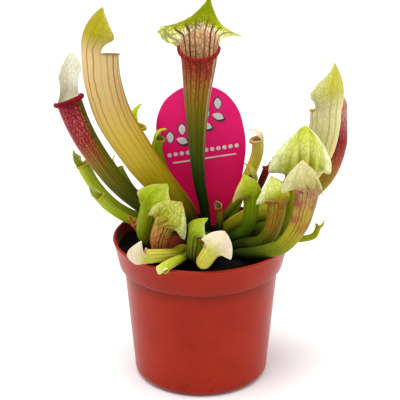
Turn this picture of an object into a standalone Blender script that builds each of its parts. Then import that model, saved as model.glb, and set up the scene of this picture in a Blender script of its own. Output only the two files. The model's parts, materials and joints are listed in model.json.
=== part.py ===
"""A trumpet pitcher plant in its 9 cm nursery pot, each piece its own closed solid.

Sizes are in millimetres and become metres where a mesh is made. +Z is up, and the origin is
under the middle of the pot. -Y is the side that the plant shows best.
"""

import math

import bmesh
import bpy
import numpy as np
from mathutils import Matrix, Vector, noise

MM = 0.001
CLEARANCE = 0.3

POT_HEIGHT = 75.2
RIM_RADIUS = 45.0
COLLAR_DEPTH = 14.5
COLLAR_FOOT_RADIUS = 41.8
WALL_TOP_RADIUS = 39.4
BASE_RADIUS = 33.9
BASE_ROUNDING = 4.5
POT_WALL = 1.0
RIM_BEAD = 0.7
POT_SIDES = 36
DRAIN_HOLES = 6
DRAIN_HOLE_RADIUS = 3.2
DRAIN_CIRCLE_RADIUS = 22.0

SOIL_LEVEL = 69.2
SOIL_RISE = 0.6
SOIL_BUMP = 1.1
SOIL_RINGS = 6
HOLE_DEPTH = 8.0
HOLE_FLARE = 0.9
HOLE_SIDES = 6

RHIZOME_CENTRE = (4.0, 8.0, 69.4)
RHIZOME_RADII = (10.5, 4.4, 4.2)

LABEL_STAKE_FOOT = (12.6, 26.0, 39.4)
LABEL_LEAN = -9.0
LABEL_THICKNESS = 0.8
STAKE_HALF_WIDTH = 3.4

LEAF_WALL = 0.7
LEAF_UPRIGHT = 2.2
HOOD_END_HALF_WIDTH = 0.9
COLLECTION = "potted_trumpet_pitcher"


def clear_scene():
    for obj in list(bpy.data.objects):
        bpy.data.objects.remove(obj, do_unlink=True)


def collection(name):
    made = bpy.data.collections.new(name)
    bpy.context.scene.collection.children.link(made)
    return made


def material(name, colour, roughness):
    made = bpy.data.materials.get(name)
    if made:
        return made
    made = bpy.data.materials.new(name)
    made.use_nodes = True
    shader = made.node_tree.nodes["Principled BSDF"]
    shader.inputs["Base Color"].default_value = (*colour, 1.0)
    shader.inputs["Roughness"].default_value = roughness
    shader.inputs["Metallic"].default_value = 0.0
    return made


def add_object(name, data, made_of, into):
    obj = bpy.data.objects.new(name, data)
    obj.data.materials.append(made_of)
    into.objects.link(obj)
    return obj


def mesh_of_screw(name, profile, sides):
    """The solid turned from a profile of (radius, height), which ends on the axis at both ends."""
    mesh = bpy.data.meshes.new(name)
    points = [(radius * MM, 0.0, height * MM) for radius, height in profile]
    mesh.from_pydata(points, [(i, i + 1) for i in range(len(points) - 1)], [])
    obj = bpy.data.objects.new(name, mesh)
    bpy.context.scene.collection.objects.link(obj)
    screw = obj.modifiers.new("turn", "SCREW")
    screw.steps = sides
    screw.render_steps = sides
    screw.use_merge_vertices = True
    screw.merge_threshold = 0.00001
    bpy.context.view_layer.update()
    evaluated = obj.evaluated_get(bpy.context.evaluated_depsgraph_get())
    turned = bpy.data.meshes.new_from_object(evaluated)
    bpy.data.objects.remove(obj, do_unlink=True)
    turned.name = name
    return turned


def cut(obj, cutter, cutters_cross=False):
    boolean = obj.modifiers.new("cut_" + cutter.name, "BOOLEAN")
    boolean.operation = "DIFFERENCE"
    boolean.solver = "EXACT"
    boolean.use_self = cutters_cross
    boolean.object = cutter


def add_cutter(name, bm, into):
    mesh = bpy.data.meshes.new(name)
    bm.to_mesh(mesh)
    bm.free()
    cutter = bpy.data.objects.new(name, mesh)
    cutter.hide_render = True
    cutter.display_type = "WIRE"
    into.objects.link(cutter)
    return cutter


def smooth_mesh(mesh, angle=40.0):
    mesh.shade_smooth()
    mesh.set_sharp_from_angle(angle=math.radians(angle))


def inner_wall_radius(height):
    """The pot's inside, which follows the wall and the wider collar."""
    foot = POT_HEIGHT - COLLAR_DEPTH
    if height >= foot:
        share = (height - foot) / COLLAR_DEPTH
        return COLLAR_FOOT_RADIUS + share * (RIM_RADIUS - COLLAR_FOOT_RADIUS) - POT_WALL
    return BASE_RADIUS + (WALL_TOP_RADIUS - BASE_RADIUS) * height / foot - POT_WALL


def make_pot(parts, cutters):
    """Thin blow-moulded pot: tapered wall, stepped collar with a beaded rim, drain holes."""
    foot = POT_HEIGHT - COLLAR_DEPTH
    round_centre = BASE_RADIUS - BASE_ROUNDING + 0.5
    profile = [
        (0.0, POT_WALL),
        (round_centre - POT_WALL, POT_WALL),
        (inner_wall_radius(BASE_ROUNDING), BASE_ROUNDING),
        (inner_wall_radius(foot - POT_WALL), foot - 2.2 * POT_WALL),
        (inner_wall_radius(foot), foot),
        (inner_wall_radius(POT_HEIGHT - 2.0), POT_HEIGHT - 2.0),
        (RIM_RADIUS - 1.5, POT_HEIGHT - 0.3),
        (RIM_RADIUS - 0.9, POT_HEIGHT),
        (RIM_RADIUS - 0.2, POT_HEIGHT - 0.3),
        (RIM_RADIUS, POT_HEIGHT - RIM_BEAD - 0.3),
        (RIM_RADIUS - 0.45, POT_HEIGHT - 2.2),
        (COLLAR_FOOT_RADIUS, foot + 0.5),
        (COLLAR_FOOT_RADIUS - 0.5, foot),
        (WALL_TOP_RADIUS, foot - 0.6),
        (BASE_RADIUS + 0.4, BASE_ROUNDING),
    ]
    for angle in (22.5, 45.0, 67.5):
        turn = math.radians(angle)
        profile.append(
            (round_centre + BASE_ROUNDING * math.cos(turn), BASE_ROUNDING * (1 - math.sin(turn)))
        )
    profile += [(round_centre, 0.0), (0.0, 0.0)]
    mesh = mesh_of_screw("pot", profile, POT_SIDES)
    smooth_mesh(mesh)
    plastic = material("terracotta_polypropylene", (0.36, 0.035, 0.02), 0.35)
    pot = add_object("pot", mesh, plastic, parts)

    bm = bmesh.new()
    for k in range(DRAIN_HOLES):
        turn = math.tau * (k + 0.5) / DRAIN_HOLES
        spot = (DRAIN_CIRCLE_RADIUS * math.cos(turn), DRAIN_CIRCLE_RADIUS * math.sin(turn), 0.0)
        bmesh.ops.create_cone(
            bm,
            cap_ends=True,
            segments=12,
            radius1=DRAIN_HOLE_RADIUS * MM,
            radius2=DRAIN_HOLE_RADIUS * MM,
            depth=4 * POT_WALL * MM,
            matrix=Matrix.Translation(Vector(spot) * MM),
        )
    cut(pot, add_cutter("drain_hole_cutter", bm, cutters))


def soil_height(x, y):
    """Peat surface: a low mound with lumps of two sizes."""
    share = min(1.0, math.hypot(x, y) / 42.0)
    lumps = noise.noise(Vector((x / 9.0, y / 9.0, 3.1))) + 0.5 * noise.noise(
        Vector((x / 4.0, y / 4.0, 8.7))
    )
    return SOIL_LEVEL + SOIL_RISE * (1 - share * share) + SOIL_BUMP * lumps


def make_soil(parts, cutters, leaves):
    """Peat fills the pot to a few millimetres under the rim; leaf bases stand in plain holes."""
    edge = inner_wall_radius(SOIL_LEVEL) - CLEARANCE
    foot = POT_HEIGHT - COLLAR_DEPTH
    tops = [(edge * i / SOIL_RINGS, SOIL_LEVEL) for i in range(SOIL_RINGS + 1)]
    below = [
        (inner_wall_radius(foot + 0.1) - CLEARANCE, foot + 0.5),
        (inner_wall_radius(foot - POT_WALL) - CLEARANCE, foot - 2.2 * POT_WALL),
        (inner_wall_radius(BASE_ROUNDING) - CLEARANCE, BASE_ROUNDING + CLEARANCE),
        (BASE_RADIUS - BASE_ROUNDING - 1.0, POT_WALL + CLEARANCE),
        (0.0, POT_WALL + CLEARANCE),
    ]
    mesh = mesh_of_screw("soil", tops + below, 28)
    for vertex in mesh.vertices:
        x, y, z = vertex.co / MM
        if z > SOIL_LEVEL - 0.1:
            vertex.co.z = soil_height(x, y) * MM
    smooth_mesh(mesh, 60.0)
    soil = add_object("soil", mesh, material("peat", (0.012, 0.008, 0.006), 0.95), parts)

    bm = bmesh.new()
    for leaf in leaves:
        x, y = leaf["root"]
        radius = leaf["petiole"] + CLEARANCE + 0.1
        low = SOIL_LEVEL - HOLE_DEPTH - CLEARANCE
        high = SOIL_LEVEL + 4.0
        bmesh.ops.create_cone(
            bm,
            cap_ends=True,
            segments=HOLE_SIDES,
            radius1=radius / math.cos(math.pi / HOLE_SIDES) * MM,
            radius2=(radius + HOLE_FLARE) / math.cos(math.pi / HOLE_SIDES) * MM,
            depth=(high - low) * MM,
            matrix=Matrix.Translation(Vector((x, y, (low + high) / 2)) * MM),
        )
    cut(soil, add_cutter("leaf_base_cutter", bm, cutters), cutters_cross=True)

    bm = bmesh.new()
    lump_rhizome(bm, CLEARANCE + 0.1)
    cut(soil, add_cutter("rhizome_cutter", bm, cutters))

    bm = bmesh.new()
    bmesh.ops.create_cube(bm, size=1.0)
    slot = Vector((2 * (STAKE_HALF_WIDTH + CLEARANCE), LABEL_THICKNESS + 2 * CLEARANCE, 60.0))
    bmesh.ops.scale(bm, vec=slot * MM, verts=bm.verts)
    lift = Matrix.Translation(Vector((0, 0, 30.0 - CLEARANCE)) * MM)
    bmesh.ops.transform(bm, matrix=label_place() @ lift, verts=bm.verts)
    cut(soil, add_cutter("label_slot_cutter", bm, cutters))


def lump_rhizome(bm, grow):
    """A short creeping stem, ringed by the scars of old leaves, grown outwards by grow."""
    bmesh.ops.create_uvsphere(bm, u_segments=14, v_segments=12, radius=1.0)
    turn = Matrix.Rotation(math.radians(90), 4, "Y")
    bmesh.ops.transform(bm, matrix=turn, verts=bm.verts)
    size = Vector(RHIZOME_RADII)
    for vertex in bm.verts:
        along = vertex.co.x
        ring = 1.0 + 0.06 * math.sin(along * 14.0)
        direction = Vector((along, vertex.co.y * ring, vertex.co.z * ring))
        place = Vector([direction[k] * (size[k] + grow) for k in range(3)])
        vertex.co = (place + Vector(RHIZOME_CENTRE)) * MM


def make_rhizome(parts):
    bm = bmesh.new()
    lump_rhizome(bm, 0.0)
    mesh = bpy.data.meshes.new("rhizome")
    bm.to_mesh(mesh)
    bm.free()
    smooth_mesh(mesh)
    add_object("rhizome", mesh, material("rhizome_bark", (0.05, 0.02, 0.012), 0.8), parts)


def label_place():
    """The label's own frame: X across its face, Z up along its stake, from the stake's foot."""
    lean = Matrix.Rotation(math.radians(LABEL_LEAN), 4, "Y")
    return Matrix.Translation(Vector(LABEL_STAKE_FOOT) * MM) @ lean


def make_label(parts):
    """Die-cut plastic plant label: an egg-shaped head that narrows to a stake."""
    half = [
        (0.0, 0.0),
        (STAKE_HALF_WIDTH, 6.0),
        (STAKE_HALF_WIDTH, 34.0),
        (10.5, 42.0),
        (19.0, 60.0),
        (22.6, 82.0),
        (18.4, 99.0),
        (9.0, 107.2),
    ]
    outline = half + [(0.0, 109.0)] + [(-x, z) for x, z in reversed(half[1:])]
    curve = bpy.data.curves.new("plant_label", "CURVE")
    curve.dimensions = "2D"
    curve.fill_mode = "BOTH"
    curve.extrude = LABEL_THICKNESS / 2 * MM
    curve.resolution_u = 5
    spline = curve.splines.new("BEZIER")
    spline.bezier_points.add(len(outline) - 1)
    spline.use_cyclic_u = True
    straight = (0, 1, 2, len(outline) - 2, len(outline) - 1)
    for k, (x, z) in enumerate(outline):
        point = spline.bezier_points[k]
        point.co = (x * MM, z * MM, 0.0)
        kind = "VECTOR" if k in straight else "AUTO"
        point.handle_left_type = kind
        point.handle_right_type = kind
    plastic = material("pink_polystyrene", (0.75, 0.01, 0.13), 0.3)
    label = add_object("plant_label", curve, plastic, parts)
    label.matrix_world = label_place() @ Matrix.Rotation(math.radians(90), 4, "X")


def smooth_path(points, count):
    """count + 1 even steps along a Catmull-Rom curve through the points, and its length."""
    given = [np.array(p, float) for p in points]
    given = [2 * given[0] - given[1]] + given + [2 * given[-1] - given[-2]]
    fine = []
    for a, b, c, d in zip(given, given[1:], given[2:], given[3:]):
        for t in np.linspace(0, 1, 16, endpoint=False):
            fine.append(
                0.5
                * (
                    2 * b
                    + (c - a) * t
                    + (2 * a - 5 * b + 4 * c - d) * t * t
                    + (3 * b - a - 3 * c + d) * t**3
                )
            )
    fine.append(given[-2])
    fine = np.array(fine)
    length = np.concatenate([[0], np.cumsum(np.linalg.norm(np.diff(fine, axis=0), axis=1))])
    even = np.linspace(0, length[-1], count + 1)
    return np.column_stack([np.interp(even, length, fine[:, k]) for k in range(3)]), length[-1]


def path_frames(path, faces, faces_up):
    """(along, front, side) at each point of the path, untwisted, with front set at the mouth."""
    along = np.gradient(path, axis=0)
    along /= np.linalg.norm(along, axis=1)[:, None]
    turn, tip = math.radians(faces), math.radians(faces_up)
    level = math.cos(tip)
    front = np.array([math.cos(turn) * level, math.sin(turn) * level, math.sin(tip)])
    frames = []
    for tangent in along[::-1]:
        front = front - tangent * (front @ tangent)
        front /= np.linalg.norm(front)
        frames.append((tangent, front, np.cross(tangent, front)))
    return frames[::-1]


def ease(t):
    t = min(1.0, max(0.0, t))
    return t * t * (3 - 2 * t)


def grown_share(leaf, share):
    """How far up the leaf, from 0 where it leaves the peat to 1 at its mouth."""
    return max(0.0, (share - leaf["buried"]) / (1 - leaf["buried"]))


def ring_point(leaf, centre, frame, share, angle, inset=0.0):
    """A point of the tube's skin; the mouth's plane is cut at a slant, low in front."""
    along, front, side = frame
    grown = grown_share(leaf, share)
    radius = leaf["petiole"] + (leaf["mouth"] - leaf["petiole"]) * grown ** leaf["swell"] - inset
    keel = leaf["keel"] * math.sin(math.pi * grown) if not inset else 0.0
    reach = radius + keel * max(0.0, math.cos(angle)) ** 24
    slant = -math.cos(angle) * radius * math.tan(math.radians(leaf["slant"]))
    slant *= ease((share - 0.6) / 0.4)
    narrow = 1 - (1 - leaf["narrow"]) * ease(grown * 3)
    return (
        centre
        + front * reach * math.cos(angle)
        + side * reach * math.sin(angle) * narrow
        + along * slant
    )


def hood_point(leaf, centre, frame, across, up):
    """A point of the hood, for across from -1 to 1 over its width and up from 0 to 1.

    The hood grows from the back of the mouth, narrows to a neck, widens into two waved lobes
    and ends in a small tip. Its middle line bends forward by an even amount along its length.
    """
    along, front, side = frame
    hood = leaf["hood"]
    half_arc = leaf["back_arc"]
    radius = leaf["mouth"]
    start, end = (math.radians(a) for a in hood["bend"])
    turn = start + (end - start) * up
    sweep = end - start
    forward = hood["length"] * (math.cos(start) - math.cos(turn)) / sweep
    rise = hood["length"] * (math.sin(turn) - math.sin(start)) / sweep
    normal = front * math.cos(turn) - along * math.sin(turn)
    ahead = front * math.sin(turn) + along * math.cos(turn)

    broad, half_width = hood["broad"], hood["half_width"]
    cup = math.radians(hood["cup"])
    if up < broad:
        width = radius * half_arc * (1 - hood["neck"] * math.sin(math.pi * up / broad))
        width += (half_width - radius * half_arc) * ease(up / broad)
        arc = half_arc + (cup - half_arc) * ease(up / broad)
    else:
        past = (up - broad) / (1 - broad)
        round_end = math.sqrt(1 - 0.93 * past * past)
        drawn_out = (1 + math.cos(math.pi * past)) / 2
        width = half_width * (round_end + hood["pointed"] * (drawn_out - round_end))
        width = max(width, HOOD_END_HALF_WIDTH)
        arc = cup * width / half_width
    bow = width / arc * (1 + hood["uneven"] * math.copysign(ease(up / broad), across))
    width_way = bow * math.sin(arc * across)
    depth_way = bow * (1 - math.cos(arc * across))

    spread = across * width / half_width
    hang = (1.5 - 1.5 * hood["roll"]) * abs(spread) + (1.5 * hood["roll"] - 0.5) * abs(spread) ** 3
    side_phase = hood["phase"] + (math.pi / 2 if across > 0 else 0.0)
    wave = hood["wave"] * spread**2 * ease(up * 3)
    wave *= math.sin(math.tau * hood["waves"] * up + side_phase)
    one_side = 1 + 2 * hood["uneven"] * np.sign(across)
    fan = hood["fan"] * one_side * spread**2 * (up - broad)
    droop = fan - hood["droop"] * hang * ease(up * 1.2)
    lobes = 9.5 * hood["lobes"] * spread**2 * ease(up / broad) * up * (1 - up) ** 3
    ear = hood["ear"] * max(0.0, -across) ** 5 * math.exp(-(((up - broad) / 0.09) ** 2))
    tip = hood["tip"] * max(0.0, 1 - abs(spread) * 3) * up**4
    narrow = leaf["narrow"] + (1 - leaf["narrow"]) * ease(up / broad)
    slope = math.tan(math.radians(leaf["slant"]))
    slant = slope * radius * (1 - (1 - up) * (1 - math.cos(half_arc * across)))
    return (
        centre
        - front * radius
        + along * (slant + rise - 0.35 * ear - lobes)
        + front * forward
        - side * (width_way * narrow + hood["sway"] * up - ear)
        + normal * (depth_way + wave)
        + ahead * (tip + droop)
    )


def hood_normal(leaf, centre, frame, across, up):
    """Away from the mouth's side of the hood, from the slopes of hood_point."""
    step = 0.05
    low, high = max(0.0, up - step), min(1.0, up + step)
    left, right = max(-1.0, across - step), min(1.0, across + step)
    du = hood_point(leaf, centre, frame, right, up) - hood_point(leaf, centre, frame, left, up)
    dv = hood_point(leaf, centre, frame, across, high) - hood_point(leaf, centre, frame, across, low)
    normal = np.cross(du, dv)
    return normal / np.linalg.norm(normal)


SIZES = {
    "large": {"sides": 16, "rows": 12, "hollow_rows": 3, "hood_rows": 7, "lip_rows": 2, "back": 3},
    "medium": {"sides": 12, "rows": 8, "hollow_rows": 2, "hood_rows": 5, "lip_rows": 1, "back": 2},
    "small": {"sides": 8, "rows": 6, "hollow_rows": 1, "hood_rows": 4, "lip_rows": 0, "back": 2},
}


def pitcher_mesh(leaf):
    """One leaf as a closed sheet: a tube from its root to its mouth, a rolled lip and a hood.

    The tube is hollow for its top rows and solid below, where the walls nearly meet.
    """
    size = SIZES[leaf["size"]]
    sides, rows = size["sides"], size["rows"]
    back = leaf["back"] or size["back"]
    leaf["back_arc"] = math.tau * back / sides
    foot = (*leaf["root"], SOIL_LEVEL - HOLE_DEPTH)
    waist = (*leaf["root"], SOIL_LEVEL - 3.0)
    collar = (*leaf["root"], SOIL_LEVEL + LEAF_UPRIGHT)
    path, length = smooth_path([foot, waist, collar] + leaf["path"], rows)
    leaf["buried"] = (HOLE_DEPTH + 0.5) / length
    frames = path_frames(path, leaf["faces"], leaf["faces_up"])
    points, faces = [], []

    def add(point):
        points.append(point)
        return len(points) - 1

    def face(*corners, inward=False):
        corners = corners[::-1] if inward else corners
        faces.append(corners[:3])
        if len(corners) == 4:
            faces.append((corners[0], corners[2], corners[3]))

    angles = [math.tau * k / sides for k in range(sides)]
    outer = [
        [add(ring_point(leaf, path[i], frames[i], i / rows, a)) for a in angles]
        for i in range(rows + 1)
    ]
    deepest = rows - size["hollow_rows"]
    hollow = [
        [add(ring_point(leaf, path[i], frames[i], i / rows, a, LEAF_WALL)) for a in angles]
        for i in range(deepest, rows + 1)
    ]
    foot_centre, pit_centre = add(path[0]), add(path[deepest])
    for k in range(sides):
        n = (k + 1) % sides
        for low, high in zip(outer, outer[1:]):
            face(low[k], low[n], high[n], high[k])
        for low, high in zip(hollow, hollow[1:]):
            face(low[k], high[k], high[n], low[n])
        face(foot_centre, outer[0][n], outer[0][k])
        face(pit_centre, hollow[0][k], hollow[0][n])

    inner = dict(zip(outer[-1], hollow[-1]))
    half_edges = []

    def skin(*corners):
        """A face of the sheet's outside, with its twin inside."""
        corners = tuple(dict.fromkeys(corners))
        if len(corners) == 4:
            twins = [(corners[0], corners[1], corners[2]), (corners[0], corners[2], corners[3])]
        else:
            twins = [corners]
        for twin in twins:
            face(*twin)
            face(*(inner[p] for p in twin), inward=True)
            half_edges.extend(zip(twin, twin[1:] + twin[:1]))

    mouth, frame = path[-1], frames[-1]
    middle = sides // 2
    below = outer[-1][middle - back : middle + back + 1]
    for j in range(1, size["hood_rows"] + 1):
        up = j / size["hood_rows"]
        row = []
        for k in range(2 * back + 1):
            across = k / back - 1
            place = hood_point(leaf, mouth, frame, across, up)
            row.append(add(place))
            inner[row[-1]] = add(place - LEAF_WALL * hood_normal(leaf, mouth, frame, across, up))
        for k in range(2 * back):
            skin(below[k], below[k + 1], row[k + 1], row[k])
        below = row

    along, front, side = frame
    first, last = middle + back, middle - back + sides
    below = [outer[-1][k % sides] for k in range(first, last + 1)]
    for j in range(1, size["lip_rows"] + 1):
        roll = math.radians(90.0 * j / size["lip_rows"])
        row = [below[0]]
        for k in range(first + 1, last):
            angle = math.tau * k / sides
            outward = math.cos(angle) * front + math.sin(angle) * side
            reach = leaf["lip"] * math.sin(math.pi * (k - first) / (last - first)) ** 0.5
            place = ring_point(leaf, mouth, frame, 1.0, angle)
            place += outward * reach * (1 - math.cos(roll)) + along * reach * 0.7 * math.sin(roll)
            row.append(add(place))
            thick = along * math.sin(roll) - outward * math.cos(roll)
            inner[row[-1]] = add(place + thick * LEAF_WALL)
        row.append(below[-1])
        for k in range(last - first):
            skin(below[k], below[k + 1], row[k + 1], row[k])
        below = row

    ring = outer[-1]
    half_edges += [(ring[(k + 1) % sides], ring[k]) for k in range(sides)]
    drawn = set(half_edges)
    for a, b in half_edges:
        if (b, a) not in drawn:
            face(b, a, inner[a], inner[b])
    return points, faces


def make_leaf(leaf, parts):
    points, faces = pitcher_mesh(leaf)
    mesh = bpy.data.meshes.new(leaf["name"])
    mesh.from_pydata([tuple(p * MM) for p in points], [], faces)
    smooth_mesh(mesh, 50.0)
    add_object(leaf["name"], mesh, material(*LEAF_COLOURS[leaf["colour"]]), parts)


LEAF_COLOURS = {
    "lime": ("leaf_lime", (0.42, 0.5, 0.05), 0.4),
    "yellow": ("leaf_yellow", (0.6, 0.48, 0.12), 0.4),
    "red": ("leaf_crimson", (0.3, 0.02, 0.03), 0.35),
    "olive": ("leaf_olive", (0.2, 0.2, 0.03), 0.4),
    "green": ("leaf_green", (0.06, 0.16, 0.02), 0.4),
    "cream": ("leaf_cream", (0.7, 0.68, 0.3), 0.45),
    "maroon": ("leaf_maroon", (0.1, 0.01, 0.015), 0.4),
    "dry": ("dry_bract", (0.35, 0.12, 0.04), 0.7),
}


def leaf(name, colour, size, root, path, faces, mouth, hood, **more):
    """A leaf's measures, with the usual value for each one that isn't given."""
    made = {
        "name": name,
        "colour": colour,
        "size": size,
        "root": root,
        "path": path,
        "faces": faces,
        "faces_up": 0.0,
        "mouth": mouth,
        "petiole": 1.4 if size == "small" else 1.8,
        "swell": 1.1,
        "narrow": 1.0,
        "keel": 0.4 if size == "small" else 1.0,
        "slant": 15.0,
        "lip": 1.2,
        "back": None,
    }
    made.update(more)
    made["hood"] = {
        "length": 12.0,
        "half_width": 6.0,
        "bend": (0.0, 50.0),
        "broad": 0.5,
        "neck": 0.12,
        "cup": 45.0,
        "pointed": 0.4,
        "wave": 0.4,
        "waves": 1.2,
        "phase": 0.0,
        "droop": 2.0,
        "roll": 0.0,
        "fan": 0.0,
        "lobes": 0.0,
        "ear": 0.0,
        "tip": 1.5,
        "sway": 0.0,
        "uneven": 0.0,
    }
    made["hood"].update(hood)
    return made


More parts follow.
